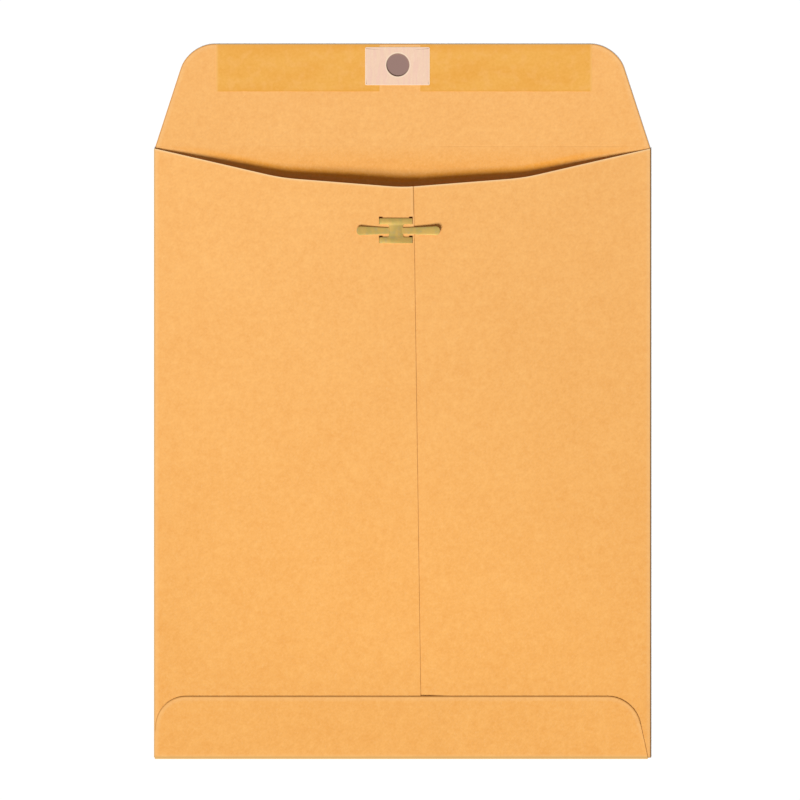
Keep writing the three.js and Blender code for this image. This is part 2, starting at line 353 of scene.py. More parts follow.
def new_recipe(name: str, place: Place) -> tuple[bpy.types.Material, Recipe]:
    """Makes an empty material.

    Args:
        name: the material's name.
        place: what its patterns are laid out on.

    Returns:
        The material and the recipe that fills it.
    """
    material = bpy.data.materials.new(name)
    material.use_nodes = True
    return material, Recipe(material.node_tree, place)


# Finishes


@dataclass(frozen=True)
class Stain:
    """A change of tone near a fold or edge: its strength, where it starts and is full, and its tone."""

    share: float
    start: float
    full: float
    tone: Colour

    def over(self, mix: Recipe, tone: Source, near: Value) -> Source:
        """Returns a tone with the stain over it where near is high."""
        return mix.mix(self.share * near.between(self.start, self.full), tone, self.tone)


@dataclass(frozen=True)
class KraftPaper:
    """Heavy golden kraft paper: clouds, fibres and specks, a score, pale rubbed folds, and painted light and
    shade.
    """

    # upper and lower: the paper is lighter towards the top, painted light that falls off down the sheet
    upper: Colour = (0.962, 0.482, 0.147)
    lower: Colour = (0.946, 0.447, 0.111)
    # Deeper, warmer tone inside the pocket: painted bounce light between the sheets
    painted_bounce_tone: Colour = (0.945, 0.432, 0.104)
    # Golden band above the mouth's cut edge: painted bounce light
    golden: Colour = (0.975, 0.4, 0.052)
    lightening: Colour = (0.85, 0.85, 0.42)
    pale: Colour = (1.0, 0.69, 0.36)
    fibre: Colour = (0.62, 0.25, 0.055)
    rubbed_folds: Stain = Stain(0.16, 0.0, 0.6, (1.0, 0.69, 0.36))
    # Darker along cut edges and the left and bottom folds: painted shade
    cut_edge_shade: Stain = Stain(0.7, 0.75, 0.95, (0.56, 0.24, 0.05))
    left_edge_shade: Stain = Stain(0.75, 0.72, 0.95, (0.6, 0.37, 0.12))
    bottom_edge_shade: Stain = Stain(0.8, 0.3, 0.9, (0.6, 0.37, 0.12))
    # Dark line down the right fold: painted shadow
    right_edge_shadow: Stain = Stain(0.92, 0.78, 0.88, (0.2, 0.09, 0.02))
    broad_clouds: Grain = Grain(38.0)
    small_clouds: Grain = Grain(11.0)
    coarse_mottle: Grain = Grain(3.2)
    fine_mottle: Grain = Grain(1.15)
    pale_fibres: Grain = Grain(0.16, 1.0, 11.0, 24.0, 0.6, 0.72)
    crossed_fibres: Grain = Grain(0.14, 1.0, 9.0, -57.0, 0.62, 0.74)
    dark_fibres: Grain = Grain(0.2, 1.0, 8.0, 81.0, 0.64, 0.76)
    score_breaks: Grain = Grain(30.0, low=0.38, high=0.62)
    cloud_share: float = 0.045
    mottle_share: float = 0.125
    fibre_share: float = 0.2
    dark_fibre_share: float = 0.12
    speck_spacing: float = 7.5
    speck_radius: float = 0.13
    speck_share: float = 0.4
    # Strength of the pale band along the mouth's cut edge: painted highlight
    highlight_share: float = 1.1
    score_share: float = 0.11
    score_width: float = 0.5
    score_core: float = 0.05
    score_above_fold: float = 1.0
    fold_width: float = 3.0
    # Where the band of painted bounce light starts and ends above the mouth's cut edge
    golden_low: Point = (2.2, 3.2)
    golden_high: Point = (7.2, 4.8)
    inner_face: Point = (0.4, 0.6)
    roughness: float = 0.84
    mottle_roughness: float = 0.1
    specular: float = 0.22
    mottle_height: float = 0.4
    fibre_height: float = 0.25
    score_depth: float = 1.2
    relief: float = 0.03

    def inside_mouth(self, mix: Recipe, layout: "Layout") -> Value:
        """Returns 1 in the band of the rear panel just above the mouth's cut edge, where painted bounce light
        goes.

        Args:
            mix: the material's recipe.
            layout: where the mouth is.
        """
        far, y = abs(mix.along("X")), mix.along("Y")
        middle, outer = (line_y + slope * (far - line_x) for line_x, line_y, slope in layout.mouth_lines())
        above = y - mix.maths("MAXIMUM", middle, outer)
        return above.between(*self.golden_low) * above.between(*self.golden_high)

    def near(self, distance: Value) -> Value:
        """Returns 1 at a distance of 0 and 0 from the fold width on."""
        return (1 - distance * (1 / self.fold_width)).clamped()

    def with_edges(self, mix: Recipe, tone: Source, layout: "Layout") -> Source:
        """Returns the paper's tone with its folds rubbed pale, painted shade along its cut edges and its left
        and bottom folds, and a painted shadow down its right fold.

        Args:
            mix: the material's recipe.
            tone: the tone without them.
            layout: where the folds are.
        """
        x, below = mix.along("X"), self.near(mix.along("Y") - layout.bottom_y)
        left, right = self.near(x + layout.half_width), self.near(layout.half_width - x)
        outline = mix.attribute(OUTLINE)
        folds = mix.maths("MAXIMUM", mix.maths("MAXIMUM", left, right), mix.maths("MAXIMUM", below, outline))
        # Pale rubbed folds, then painted shade along cut edges and folds and a painted shadow down the right
        # fold
        stains = (
            (self.rubbed_folds, folds), (self.cut_edge_shade, outline), (self.left_edge_shade, left),
            (self.bottom_edge_shade, below), (self.right_edge_shadow, right),
        )
        for stain, near in stains:
            tone = stain.over(mix, tone, near)
        return tone

    def make(self, layout: "Layout") -> bpy.types.Material:
        """Makes the material.

        Args:
            layout: where the folds are.

        Returns:
            The material.
        """
        material, mix = new_recipe("golden_kraft_paper", Place.LAID_FLAT)
        y = mix.along("Y")
        # Lighter towards the top: painted light falling off down the sheet
        tone = mix.mix(y.between(layout.bottom_y, layout.top_y), self.lower, self.upper)
        inner_face = mix.along("Z").between(*(share * layout.paper for share in self.inner_face))
        # Painted bounce light inside the pocket: a deeper, warmer tone on the rear panel's inner face
        pocket_bounce = mix.attribute(POCKET_BOUNCE) * inner_face
        tone = mix.mix(pocket_bounce, tone, self.painted_bounce_tone)
        # Painted bounce light: a golden band just above the mouth's cut edge
        tone = mix.mix(pocket_bounce * self.inside_mouth(mix, layout), tone, self.golden)
        clouds = mix.noise(self.broad_clouds) + mix.noise(self.small_clouds) - 1.0
        mottle = mix.noise(self.coarse_mottle) + mix.noise(self.fine_mottle) - 1.0
        tone = mix.tinted(tone, self.lightening, self.cloud_share * clouds + self.mottle_share * mottle)
        fibres, crossed = mix.noise(self.pale_fibres), mix.noise(self.crossed_fibres)
        dark_fibres = mix.noise(self.dark_fibres)
        specks = mix.specks(self.speck_spacing, self.speck_radius)
        tone = mix.mix(self.fibre_share * (fibres + crossed).clamped(), tone, self.pale)
        tone = mix.mix(self.dark_fibre_share * dark_fibres + self.speck_share * specks, tone, self.fibre)
        # Pale band along the mouth's cut edge: painted highlight where the edge catches the light
        highlight = mix.attribute(MOUTH_HIGHLIGHT)
        tone = mix.mix((self.highlight_share * highlight * highlight).clamped(), tone, self.pale)
        tone = self.with_edges(mix, tone, layout)
        away = abs(y - (layout.fold_y + self.score_above_fold))
        score = away.between(self.score_width, self.score_core) * mix.noise(self.score_breaks)
        tone = mix.mix(self.score_share * score, tone, self.fibre)
        fibrous = self.fibre_height * fibres + self.fibre_height * crossed
        mix.surface({
            "Base Color": tone,
            "Roughness": self.roughness + self.mottle_roughness * mottle,
            "Specular IOR Level": self.specular,
            "Normal": mix.bump(self.mottle_height * mottle + fibrous - self.score_depth * score, self.relief),
        })
        return material


@dataclass(frozen=True)
class DriedGum:
    """Dried remoistenable gum: a thin ochre film with a soft sheen, brushed on lengthwise."""

    body: Colour = (0.88, 0.43, 0.078)
    thick: Colour = (0.82, 0.35, 0.04)
    thin: Colour = (0.93, 0.48, 0.135)
    lightening: Colour = (0.8, 0.75, 0.36)
    # Darker along the top edge: painted shade
    top_edge_shade: Colour = (0.6, 0.37, 0.14)
    clouds: Grain = Grain(9.0, 3.0, 3.0, 90.0)
    mottle: Grain = Grain(1.3, 3.0)
    thin_patches: Grain = Grain(5.0, low=0.45, high=0.7)
    thick_top: Point = (4.5, 1.2)
    thick_low: Point = (1.4, 0.3)
    top_shade_span: Point = (0.9, 0.2)
    thin_end: float = 1.6
    cloud_range: Point = (0.35, 0.7)
    cloud_share: float = 0.45
    thin_share: float = 0.35
    mottle_share: float = 0.13
    thick_top_share: float = 0.45
    thick_low_share: float = 0.4
    top_shade_share: float = 0.6
    roughness: float = 0.46
    mottle_roughness: float = 0.2
    specular: float = 0.35
    cloud_height: float = 0.6
    mottle_height: float = 0.4
    relief: float = 0.03

    def make(self, top_y: float, low_y: float, ends: Point) -> bpy.types.Material:
        """Makes the material.

        Args:
            top_y: height of the gum's top edge, in millimetres.
            low_y: height of its lower edge, in millimetres.
            ends: its outer ends along X, in millimetres.

        Returns:
            The material.
        """
        material, mix = new_recipe("dried_gum", Place.OBJECT)
        x, y = mix.along("X"), mix.along("Y")
        from_top, from_low = top_y - y, y - low_y
        clouds, mottle = mix.noise(self.clouds), mix.noise(self.mottle)
        tone = mix.mix(self.cloud_share * clouds.between(*self.cloud_range), self.body, self.thick)
        tone = mix.mix(self.thin_share * mix.noise(self.thin_patches), tone, self.thin)
        tone = mix.tinted(tone, self.lightening, self.mottle_share * (mottle - 0.5))
        top, low = from_top.between(*self.thick_top), from_low.between(*self.thick_low)
        thick = (self.thick_top_share * top + self.thick_low_share * low).clamped()
        tone = mix.mix(thick, tone, self.thick)
        left = x.between(ends[0] + self.thin_end, ends[0])
        right = x.between(ends[1] - self.thin_end, ends[1])
        tone = mix.mix((left + right).clamped(), tone, self.thin)
        # Darker along the top edge: painted shade
        tone = mix.mix(self.top_shade_share * from_top.between(*self.top_shade_span), tone, self.top_edge_shade)
        mix.surface({
            "Base Color": tone,
            "Roughness": self.roughness + self.mottle_roughness * mottle,
            "Specular IOR Level": self.specular,
            "Normal": mix.bump(self.cloud_height * clouds + self.mottle_height * mottle, self.relief),
        })
        return material


@dataclass(frozen=True)
class PatchPaper:
    """Stiff cream card with faint pinkish streaks along its grain."""

    cream: Colour = (0.93, 0.65, 0.475)
    pink: Colour = (0.91, 0.6, 0.475)
    pale: Colour = (0.98, 0.73, 0.54)
    bare: Colour = (1.0, 0.8, 0.6)
    # Dark ring at the hole's rim: painted shade of the hole's wall
    hole_rim_shade: Colour = (0.16, 0.085, 0.055)
    streaks: Grain = Grain(1.3, 2.0, 9.0, low=0.42, high=0.68)
    glints: Grain = Grain(0.8, 2.0, 7.0, low=0.55, high=0.8)
    mottle: Grain = Grain(1.1, 3.0)
    bare_rim: Point = (1.1, 0.5)
    hole_shade_span: Point = (0.32, 0.12)
    bare_edge: Point = (0.3, 0.9)
    streak_share: float = 0.75
    glint_share: float = 0.6
    mottle_share: float = 0.08
    bare_share: float = 0.6
    hole_shade_share: float = 0.75
    roughness: float = 0.76
    mottle_roughness: float = 0.1
    specular: float = 0.25
    streak_height: float = 0.4
    mottle_height: float = 0.6
    relief: float = 0.02

    def make(self, hole: Vector, radius: float) -> bpy.types.Material:
        """Makes the material.

        Args:
            hole: the clasp hole's centre, in millimetres.
            radius: its radius.

        Returns:
            The material.
        """
        material, mix = new_recipe("cream_patch_paper", Place.OBJECT)
        x, y = mix.along("X") - hole.x, mix.along("Y") - hole.y
        away = mix.maths("SQRT", x * x + y * y) - radius
        streaks, mottle = mix.noise(self.streaks), mix.noise(self.mottle)
        tone = mix.mix(self.streak_share * streaks, self.cream, self.pink)
        tone = mix.mix(self.glint_share * mix.noise(self.glints), tone, self.pale)
        tone = mix.brightened(tone, 1 - self.mottle_share / 2 + self.mottle_share * mottle)
        tone = mix.mix(self.bare_share * away.between(*self.bare_rim), tone, self.bare)
        tone = mix.mix(self.bare_share * mix.attribute(OUTLINE).between(*self.bare_edge), tone, self.bare)
        # Dark ring at the hole's rim: painted shade of the hole's wall
        tone = mix.mix(self.hole_shade_share * away.between(*self.hole_shade_span), tone, self.hole_rim_shade)
        mix.surface({
            "Base Color": tone,
            "Roughness": self.roughness + self.mottle_roughness * mottle,
            "Specular IOR Level": self.specular,
            "Normal": mix.bump(self.mottle_height * mottle + self.streak_height * streaks, self.relief),
        })
        return material


@dataclass(frozen=True)
class DriedPaste:
    """Cloudy dried paste between two folded layers."""

    clear: Colour = (0.7, 0.5, 0.26)
    cloudy: Colour = (0.84, 0.76, 0.6)
    clouds: Grain = Grain(3.5, 3.0)
    cloud_range: Point = (0.35, 0.65)
    bubble_spacing: float = 1.8
    bubble_radius: float = 0.16
    bubble_share: float = 0.5
    roughness: float = 0.5
    cloud_roughness: float = 0.2
    relief: float = 0.01

    def make(self) -> bpy.types.Material:
        """Makes the material and returns it."""
        material, mix = new_recipe("dried_paste", Place.OBJECT)
        clouds = mix.noise(self.clouds)
        bubbles = self.bubble_share * mix.specks(self.bubble_spacing, self.bubble_radius)
        tone = mix.mix(clouds.between(*self.cloud_range), self.clear, self.cloudy)
        mix.surface({
            "Base Color": mix.mix(bubbles, tone, self.clear),
            "Roughness": self.roughness + self.cloud_roughness * clouds,
            "Normal": mix.bump(clouds - bubbles, self.relief),
        })
        return material


@dataclass(frozen=True)
class PlatedMetal:
    """Thin stamped metal with a dull yellow plating, rolled along the prongs and faintly tarnished."""

    gold: Colour = (0.49, 0.305, 0.074)
    olive: Colour = (0.385, 0.28, 0.07)
    grey: Colour = (0.4, 0.29, 0.15)
    rolled: Grain = Grain(0.16, 2.0, 26.0, 90.0)
    clouds: Grain = Grain(3.2, 2.0, 1.6, low=0.38, high=0.64)
    tarnish: Grain = Grain(1.5, 3.0, low=0.5, high=0.72)
    scratches: Grain = Grain(0.07, 1.0, 40.0, 68.0, 0.68, 0.78)
    olive_share: float = 0.75
    grey_share: float = 0.45
    rolled_share: float = 0.14
    metallic: float = 0.7
    roughness: float = 0.52
    tarnish_roughness: float = 0.12
    rolled_roughness: float = 0.08
    scratch_polish: float = 0.1
    tarnish_height: float = 0.4
    scratch_depth: float = 0.6
    relief: float = 0.004

    def make(self) -> bpy.types.Material:
        """Makes the material and returns it."""
        material, mix = new_recipe("dull_plated_metal", Place.LAID_FLAT)
        rolled, clouds = mix.noise(self.rolled), mix.noise(self.clouds)
        tarnish, scratches = mix.noise(self.tarnish), mix.noise(self.scratches)
        tone = mix.mix(self.olive_share * clouds, self.gold, self.olive)
        tone = mix.mix(self.grey_share * tarnish, tone, self.grey)
        tone = mix.brightened(tone, 1 - self.rolled_share / 2 + self.rolled_share * rolled)
        dulled = self.tarnish_roughness * tarnish + self.rolled_roughness * rolled
        height = rolled - self.scratch_depth * scratches + self.tarnish_height * tarnish
        mix.surface({
            "Base Color": tone,
            "Metallic": self.metallic,
            "Roughness": self.roughness + dulled - self.scratch_polish * scratches,
            "Normal": mix.bump(height, self.relief),
        })
        return material


# Shared steps of the mesh work


def clamped(number: float) -> float:
    """Returns a number kept between 0 and 1."""
    return min(max(number, 0.0), 1.0)


def only(geom: list, kind: type) -> list:
    """Returns the elements of one kind, such as the vertices."""
    return [element for element in geom if isinstance(element, kind)]


def everything(bm: bmesh.types.BMesh) -> list:
    """Returns all the vertices, edges and faces of a mesh."""
    return [*bm.verts, *bm.edges, *bm.faces]


def shaped_grid(columns: int, rows: int, place: Callable[[int, int], Vector]) -> bmesh.types.BMesh:
    """Makes a sheet of quads.

    Args:
        columns: cells across.
        rows: cells upwards.
        place: where the corner at a column and row goes.

    Returns:
        The sheet.
    """
    bm = bmesh.new()
    bmesh.ops.create_grid(bm, x_segments=columns, y_segments=rows, size=0.5)
    for vert in bm.verts:
        column, row = round((vert.co.x + 0.5) * columns), round((vert.co.y + 0.5) * rows)
        vert.co = place(column, row)
    return bm


def rounded_corner(bm: bmesh.types.BMesh, corner: Point, reach: float, segments: int) -> None:
    """Rounds a flat outline's corner.

    Args:
        bm: the mesh.
        corner: the corner's place.
        reach: how far along its two edges the rounding starts.
        segments: steps of the arc.
    """
    found = min(bm.verts, key=lambda v: (v.co.xy - Vector(corner)).length)
    bmesh.ops.bevel(
        bm, geom=[found], offset=reach, affect="VERTICES", segments=segments, profile=0.5, material=-1
    )


def cut_lines(bm: bmesh.types.BMesh, axis: int, places: list[float]) -> None:
    """Cuts lines across a whole mesh.

    Args:
        bm: the mesh.
        axis: 0 to cut at X values, 1 at Y values.
        places: the values.
    """
    normal = Vector((1.0, 0.0, 0.0)) if axis == 0 else Vector((0.0, 1.0, 0.0))
    for place in places:
        bmesh.ops.bisect_plane(bm, geom=everything(bm), dist=ON_CUT, plane_co=normal * place, plane_no=normal)


def spaced(start: float, end: float, steps: int) -> list[float]:
    """Returns evenly spaced values from start to end, both included."""
    return [start + (end - start) * i / steps for i in range(steps + 1)]


def remove_box(bm: bmesh.types.BMesh, low: Point, high: Point) -> None:
    """Deletes the faces whose middles lie in a box in plan view.

    Args:
        bm: the mesh.
        low: the box's lowest corner.
        high: its highest corner.
    """
    def inside(face: bmesh.types.BMFace) -> bool:
        """Tells whether a face's middle is in the box."""
        middle = face.calc_center_median()
        return low[0] < middle.x < high[0] and low[1] < middle.y < high[1]

    bmesh.ops.delete(bm, geom=[f for f in bm.faces if inside(f)], context="FACES")


def round_hole(
    bm: bmesh.types.BMesh, centre: Vector, radius: float, margin: float, steps: int, ring: float = 0.2
) -> None:
    """Cuts a round hole into a flat sheet.

    Args:
        bm: the sheet.
        centre: the hole's centre.
        radius: its radius.
        margin: half the side of the square round it that takes up the change of shape.
        steps: segments of each quarter of the hole.
        ring: how far the square is first inset, as a share of the way from it to the hole.
    """
    cut_lines(bm, 0, [centre.x - margin, centre.x + margin])
    cut_lines(bm, 1, [centre.y - margin, centre.y + margin])
    remove_box(bm, (centre.x - margin, centre.y - margin), (centre.x + margin, centre.y + margin))

    def square() -> list[bmesh.types.BMEdge]:
        """Returns the edges round the square opening."""
        return [
            e for e in bm.edges
            if e.is_boundary and all(max(abs(n) for n in (v.co - centre).xy) < margin + NEAR for v in e.verts)
        ]

    bmesh.ops.subdivide_edges(bm, edges=square(), cuts=steps - 1)
    cell = bmesh.ops.contextual_create(bm, geom=square())["faces"][0]
    bmesh.ops.inset_individual(bm, faces=[cell], thickness=ring * (margin - radius))
    for vert in cell.verts:
        away = (vert.co - centre).xy.normalized() * radius
        vert.co = centre + away.to_3d()
    bmesh.ops.delete(bm, geom=[cell], context="FACES")


def mark_outline(bm: bmesh.types.BMesh, width: float, above: float = -math.inf) -> None:
    """Marks a sheet's outline, fading over a narrow band inside it.

    Args:
        bm: the sheet.
        width: the band's width.
        above: height above which the outline is marked.
    """
    marked = bm.verts.layers.float.new(OUTLINE)
    sheet = [f for f in bm.faces if f.calc_center_median().y > above]
    bmesh.ops.inset_region(bm, faces=sheet, thickness=width, use_boundary=True)
    for vert in bm.verts:
        vert[marked] = 1.0 if vert.is_boundary and vert.co.y > above else 0.0


@dataclass(frozen=True)
class Trim:
    """How a bare mesh is finished: its wall, the rounding of its edges and what shades smooth."""

    wall: float = 0.0
    wall_offset: float = 0.0
    edge: float = 0.0
    edge_steps: int = 2
    smooth_below: float = 35.0


def finished(
    bm: bmesh.types.BMesh, name: str, material: bpy.types.Material, trim: Trim
) -> bpy.types.Object:
    """Turns a mesh in millimetres into a finished piece in metres.

    Args:
        bm: the mesh, which is used up.
        name: the piece's name.
        material: its finish.
        trim: its wall, edges and shading.

    Returns:
        The piece, with its modifiers applied and the place of each point kept as laid flat.
    """
    bmesh.ops.remove_doubles(bm, verts=bm.verts, dist=TOUCHING)
    bmesh.ops.recalc_face_normals(bm, faces=bm.faces)
    bmesh.ops.scale(bm, vec=Vector((MM, MM, MM)), verts=bm.verts)
    mesh = bpy.data.meshes.new(name)
    bm.to_mesh(mesh)
    bm.free()
    piece = bpy.data.objects.new(name, mesh)
    bpy.context.scene.collection.objects.link(piece)
    if trim.wall:
        wall = piece.modifiers.new("wall", "SOLIDIFY")
        wall.thickness, wall.offset = trim.wall * MM, trim.wall_offset
        wall.use_even_offset = True
    if trim.edge:
        rounding = piece.modifiers.new("edge", "BEVEL")
        rounding.width, rounding.segments = trim.edge * MM, trim.edge_steps
        rounding.limit_method, rounding.angle_limit = "ANGLE", math.radians(trim.smooth_below)
    graph = bpy.context.evaluated_depsgraph_get()
    final = bpy.data.meshes.new_from_object(piece.evaluated_get(graph), depsgraph=graph)
    piece.modifiers.clear()
    piece.data = final
    bpy.data.meshes.remove(mesh)
    final.name = name
    final.materials.clear()
    final.materials.append(material)
    final.shade_smooth()
    final.set_sharp_from_angle(angle=math.radians(trim.smooth_below))
    places = final.attributes.new(LAID_FLAT, "FLOAT_VECTOR", "POINT")
    places.data.foreach_set("vector", [n for v in final.vertices for n in v.co])
    log.info("made %s: %d faces", name, len(final.polygons))
    return piece


# The envelope's shared layout


@dataclass(frozen=True)
class Bend:
    """The rounding where a cut edge changes slope: two lines, an arc and where it begins and ends."""

    x: float
    y: float
    inner_slope: float
    outer_slope: float
    radius: float

    def height(self, x: float) -> float | None:
        """Returns the arc's height at x, or None outside the arc."""
        inner, outer = math.atan(self.inner_slope), math.atan(self.outer_slope)
        middle, half = (inner + outer) / 2, (outer - inner) / 2
        away = self.radius / math.cos(half)
        centre_x, centre_y = self.x - away * math.sin(middle), self.y + away * math.cos(middle)
        low, high = centre_x + self.radius * math.sin(inner), centre_x + self.radius * math.sin(outer)
        if not low <= x <= high:
            return None
        return centre_y - math.sqrt(self.radius**2 - (x - centre_x) ** 2)


@dataclass(frozen=True)
class Layout:
    """The sizes that several pieces share, in millimetres, as in the CAD model."""

    body_width: float = 254.0
    body_height: float = 312.2
    paper: float = 0.2
    layer_gap: float = 0.15
    flap_height: float = 53.2
    crease_gap: float = 0.3
    throat_depth: float = 20.2
    throat_bend_x: float = 61.8
    throat_bend_depth: float = 15.3
    throat_bend_radius: float = 110.0
    throat_middle_radius: float = 90.0
    gape: float = 5.4
    flat_rim: float = 3.0
    seam_top_x: float = 5.3
    seam_bottom_x: float = 9.7
    seam_overlap: float = 22.0
    bottom_flap_height: float = 32.0
    hole_x: float = -2.4
    hole_below_top: float = 10.7
    hole_diameter: float = 11.5
    gum_film: float = 0.05

    @property
    def half_width(self) -> float:
        """Half the body's width."""
        return self.body_width / 2

    @property
    def top_y(self) -> float:
        """Height of the closure flap's top edge."""
        return (self.body_height + self.flap_height) / 2

    @property
    def bottom_y(self) -> float:
        """Height of the bottom fold."""
        return -self.top_y

    @property
    def fold_y(self) -> float:
        """Height of the closure flap's fold."""
        return self.top_y - self.flap_height

    @property
    def mouth_y(self) -> float:
        """Height of the lowest point of the mouth's cut edge."""
        return self.fold_y - self.throat_depth

    @property
    def bottom_flap_top_y(self) -> float:
        """Height of the bottom flap's top edge."""
        return self.bottom_y + self.bottom_flap_height

    @property
    def hole(self) -> Vector:
        """Centre of the clasp hole, on the table."""
        return Vector((self.hole_x, self.top_y - self.hole_below_top, 0.0))

    @property
    def bottom_roll_top(self) -> float:
        """Height up the table at which the bottom fold's roll turns flat."""
        return self.bottom_y + self.roll_radius(self.level(Layer.BOTTOM_FLAP))

    def level(self, layers: int) -> float:
        """Returns the height of a sheet that lies on a number of layers."""
        return layers * (self.paper + self.layer_gap)

    def roll_radius(self, level: float) -> float:
        """Returns the outer radius of the fold that lifts a sheet to a level."""
        return (level + self.paper) / 2

    def bow(self, x: float, y: float) -> float:
        """Returns how far the gaping front stands up at a point."""
        across = min(abs(x) / (self.half_width - self.flat_rim), 1.0)
        down = clamped((self.mouth_y - y) / (self.mouth_y - self.bottom_flap_top_y))
        return self.gape * math.cos(math.pi / 2 * across) * (1 - down**4) ** 2

    def seam_x(self, y: float) -> float:
        """Returns where the seam's visible edge is at a height."""
        share = (self.fold_y - y) / self.body_height
        return self.seam_top_x + (self.seam_bottom_x - self.seam_top_x) * share

    def mouth_lines(self) -> tuple[tuple[float, float, float], ...]:
        """Returns the start and slope of the mouth's two straight lines, the one at its middle first."""
        bend_y, top = self.fold_y - self.throat_bend_depth, self.fold_y - self.crease_gap / 2
        inner = (bend_y - self.mouth_y) / self.throat_bend_x
        outer = (top - bend_y) / (self.half_width - self.throat_bend_x)
        return (0.0, self.mouth_y, inner), (self.throat_bend_x, bend_y, outer)

    def mouth_edge(self, x: float) -> float:
        """Returns the height of the mouth's cut edge at x."""
        far = abs(x)
        (_, middle_y, inner), (bend_x, bend_y, outer) = self.mouth_lines()
        bends = (
            Bend(0.0, middle_y, -inner, inner, self.throat_middle_radius),
            Bend(bend_x, bend_y, inner, outer, self.throat_bend_radius),
        )
        for bend in bends:
            height = bend.height(far)
            if height is not None:
                return height
        return middle_y + inner * far if far < bend_x else bend_y + outer * (far - bend_x)


# Paper pieces


@dataclass
class BackAndClosureFlap:
    """The rear panel and the closure flap: one flat sheet with a crease between them."""

    layout: Layout
    kraft: bpy.types.Material
    flap_base_inset: float = 0.4
    flap_top_inset: float = 17.7
    corner_radius: float = 17.9
    crease_reach: float = 1.7
    crease_steps: int = 16
    corner_segments: int = 14
    hole_margin: float = 9.0
    hole_steps: int = 14
    outline_width: float = 3.0
    bounce_depth: float = 9.0

    def outline(self, row: int) -> tuple[float, float, float]:
        """Returns the left edge, right edge and height of one of the sheet's five rows of corners."""
        lay = self.layout
        low = lay.bottom_roll_top
        left = -lay.half_width + lay.roll_radius(lay.level(Layer.LEFT_PANEL))
        right = lay.half_width - lay.roll_radius(lay.level(Layer.RIGHT_PANEL))
        base, top = lay.half_width - self.flap_base_inset, lay.half_width - self.flap_top_inset
        above = base + (top - base) * self.crease_reach / lay.flap_height
        return (
            (left, right, low),
            (left, right, lay.fold_y - self.crease_reach),
            (-base, base, lay.fold_y),
            (-above, above, lay.fold_y + self.crease_reach),
            (-top, top, lay.top_y),
        )[row]

    def corner(self, column: int, row: int) -> Vector:
        """Returns the place of a corner of the sheet."""
        left, right, y = self.outline(row)
        return Vector((right if column else left, y, self.layout.paper / 2))

    def mark_pocket_bounce(self, bm: bmesh.types.BMesh) -> None:
        """Marks where the rear panel takes painted bounce light inside the pocket, fading in below the
        crease.

        Args:
            bm: the sheet.
        """
        marked = bm.verts.layers.float.new(POCKET_BOUNCE)
        top = self.layout.fold_y + self.crease_reach
        for vert in bm.verts:
            vert[marked] = clamped((top - vert.co.y) / (self.crease_reach + self.bounce_depth))

    def build(self) -> bpy.types.Object:
        """Builds the sheet, with its round corners, its crease and its hole, and returns it."""
        lay = self.layout
        bm = shaped_grid(1, 4, self.corner)
        lean = math.atan((self.flap_top_inset - self.flap_base_inset) / lay.flap_height)
        reach = self.corner_radius / math.tan((math.pi / 2 + lean) / 2)
        for side in Side:
            corner = (side.value * (lay.half_width - self.flap_top_inset), lay.top_y)
            rounded_corner(bm, corner, reach, self.corner_segments)
        mark_outline(bm, self.outline_width)
        crease = spaced(lay.fold_y - self.crease_reach, lay.fold_y + self.crease_reach, self.crease_steps)
        cut_lines(bm, 1, [lay.fold_y - self.bounce_depth, *crease[1:-1]])
        self.mark_pocket_bounce(bm)
        centre = lay.hole + Vector((0.0, 0.0, lay.paper / 2))
        round_hole(bm, centre, lay.hole_diameter / 2, self.hole_margin, self.hole_steps)
        piece = finished(bm, "kraft_back_and_closure_flap", self.kraft, Trim(wall=lay.paper))
        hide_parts("rear_panel", "closure_flap")
        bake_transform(piece)
        return piece


@dataclass(frozen=True)
class Slits:
    """The four slits that the clasp's legs go through, torn a little wider at their upper ends."""

    clasp: "Clasp"
    outside: float = 0.15
    inside: float = 1.7
    below: float = 1.45
    above: float = 2.4

    def boxes(self) -> list[tuple[Point, Point]]:
        """Returns the lowest and highest corner of each slit in plan view."""
        found = []
        for side in Side:
            end = self.clasp.x + side.value * self.clasp.bar_length / 2
            xs = sorted((end - side.value * self.inside, end + side.value * self.outside))
            for bar_y in self.clasp.bar_middles():
                found.append(((xs[0], bar_y - self.below), (xs[1], bar_y + self.above)))
        return found

    def cut(self, bm: bmesh.types.BMesh) -> None:
        """Cuts the slits out of a sheet.

        Args:
            bm: the sheet.
        """
        boxes = self.boxes()
        cut_lines(bm, 0, sorted({x for low, high in boxes for x in (low[0], high[0])}))
        cut_lines(bm, 1, sorted({y for low, high in boxes for y in (low[1], high[1])}))
        for low, high in boxes:
            remove_box(bm, low, high)


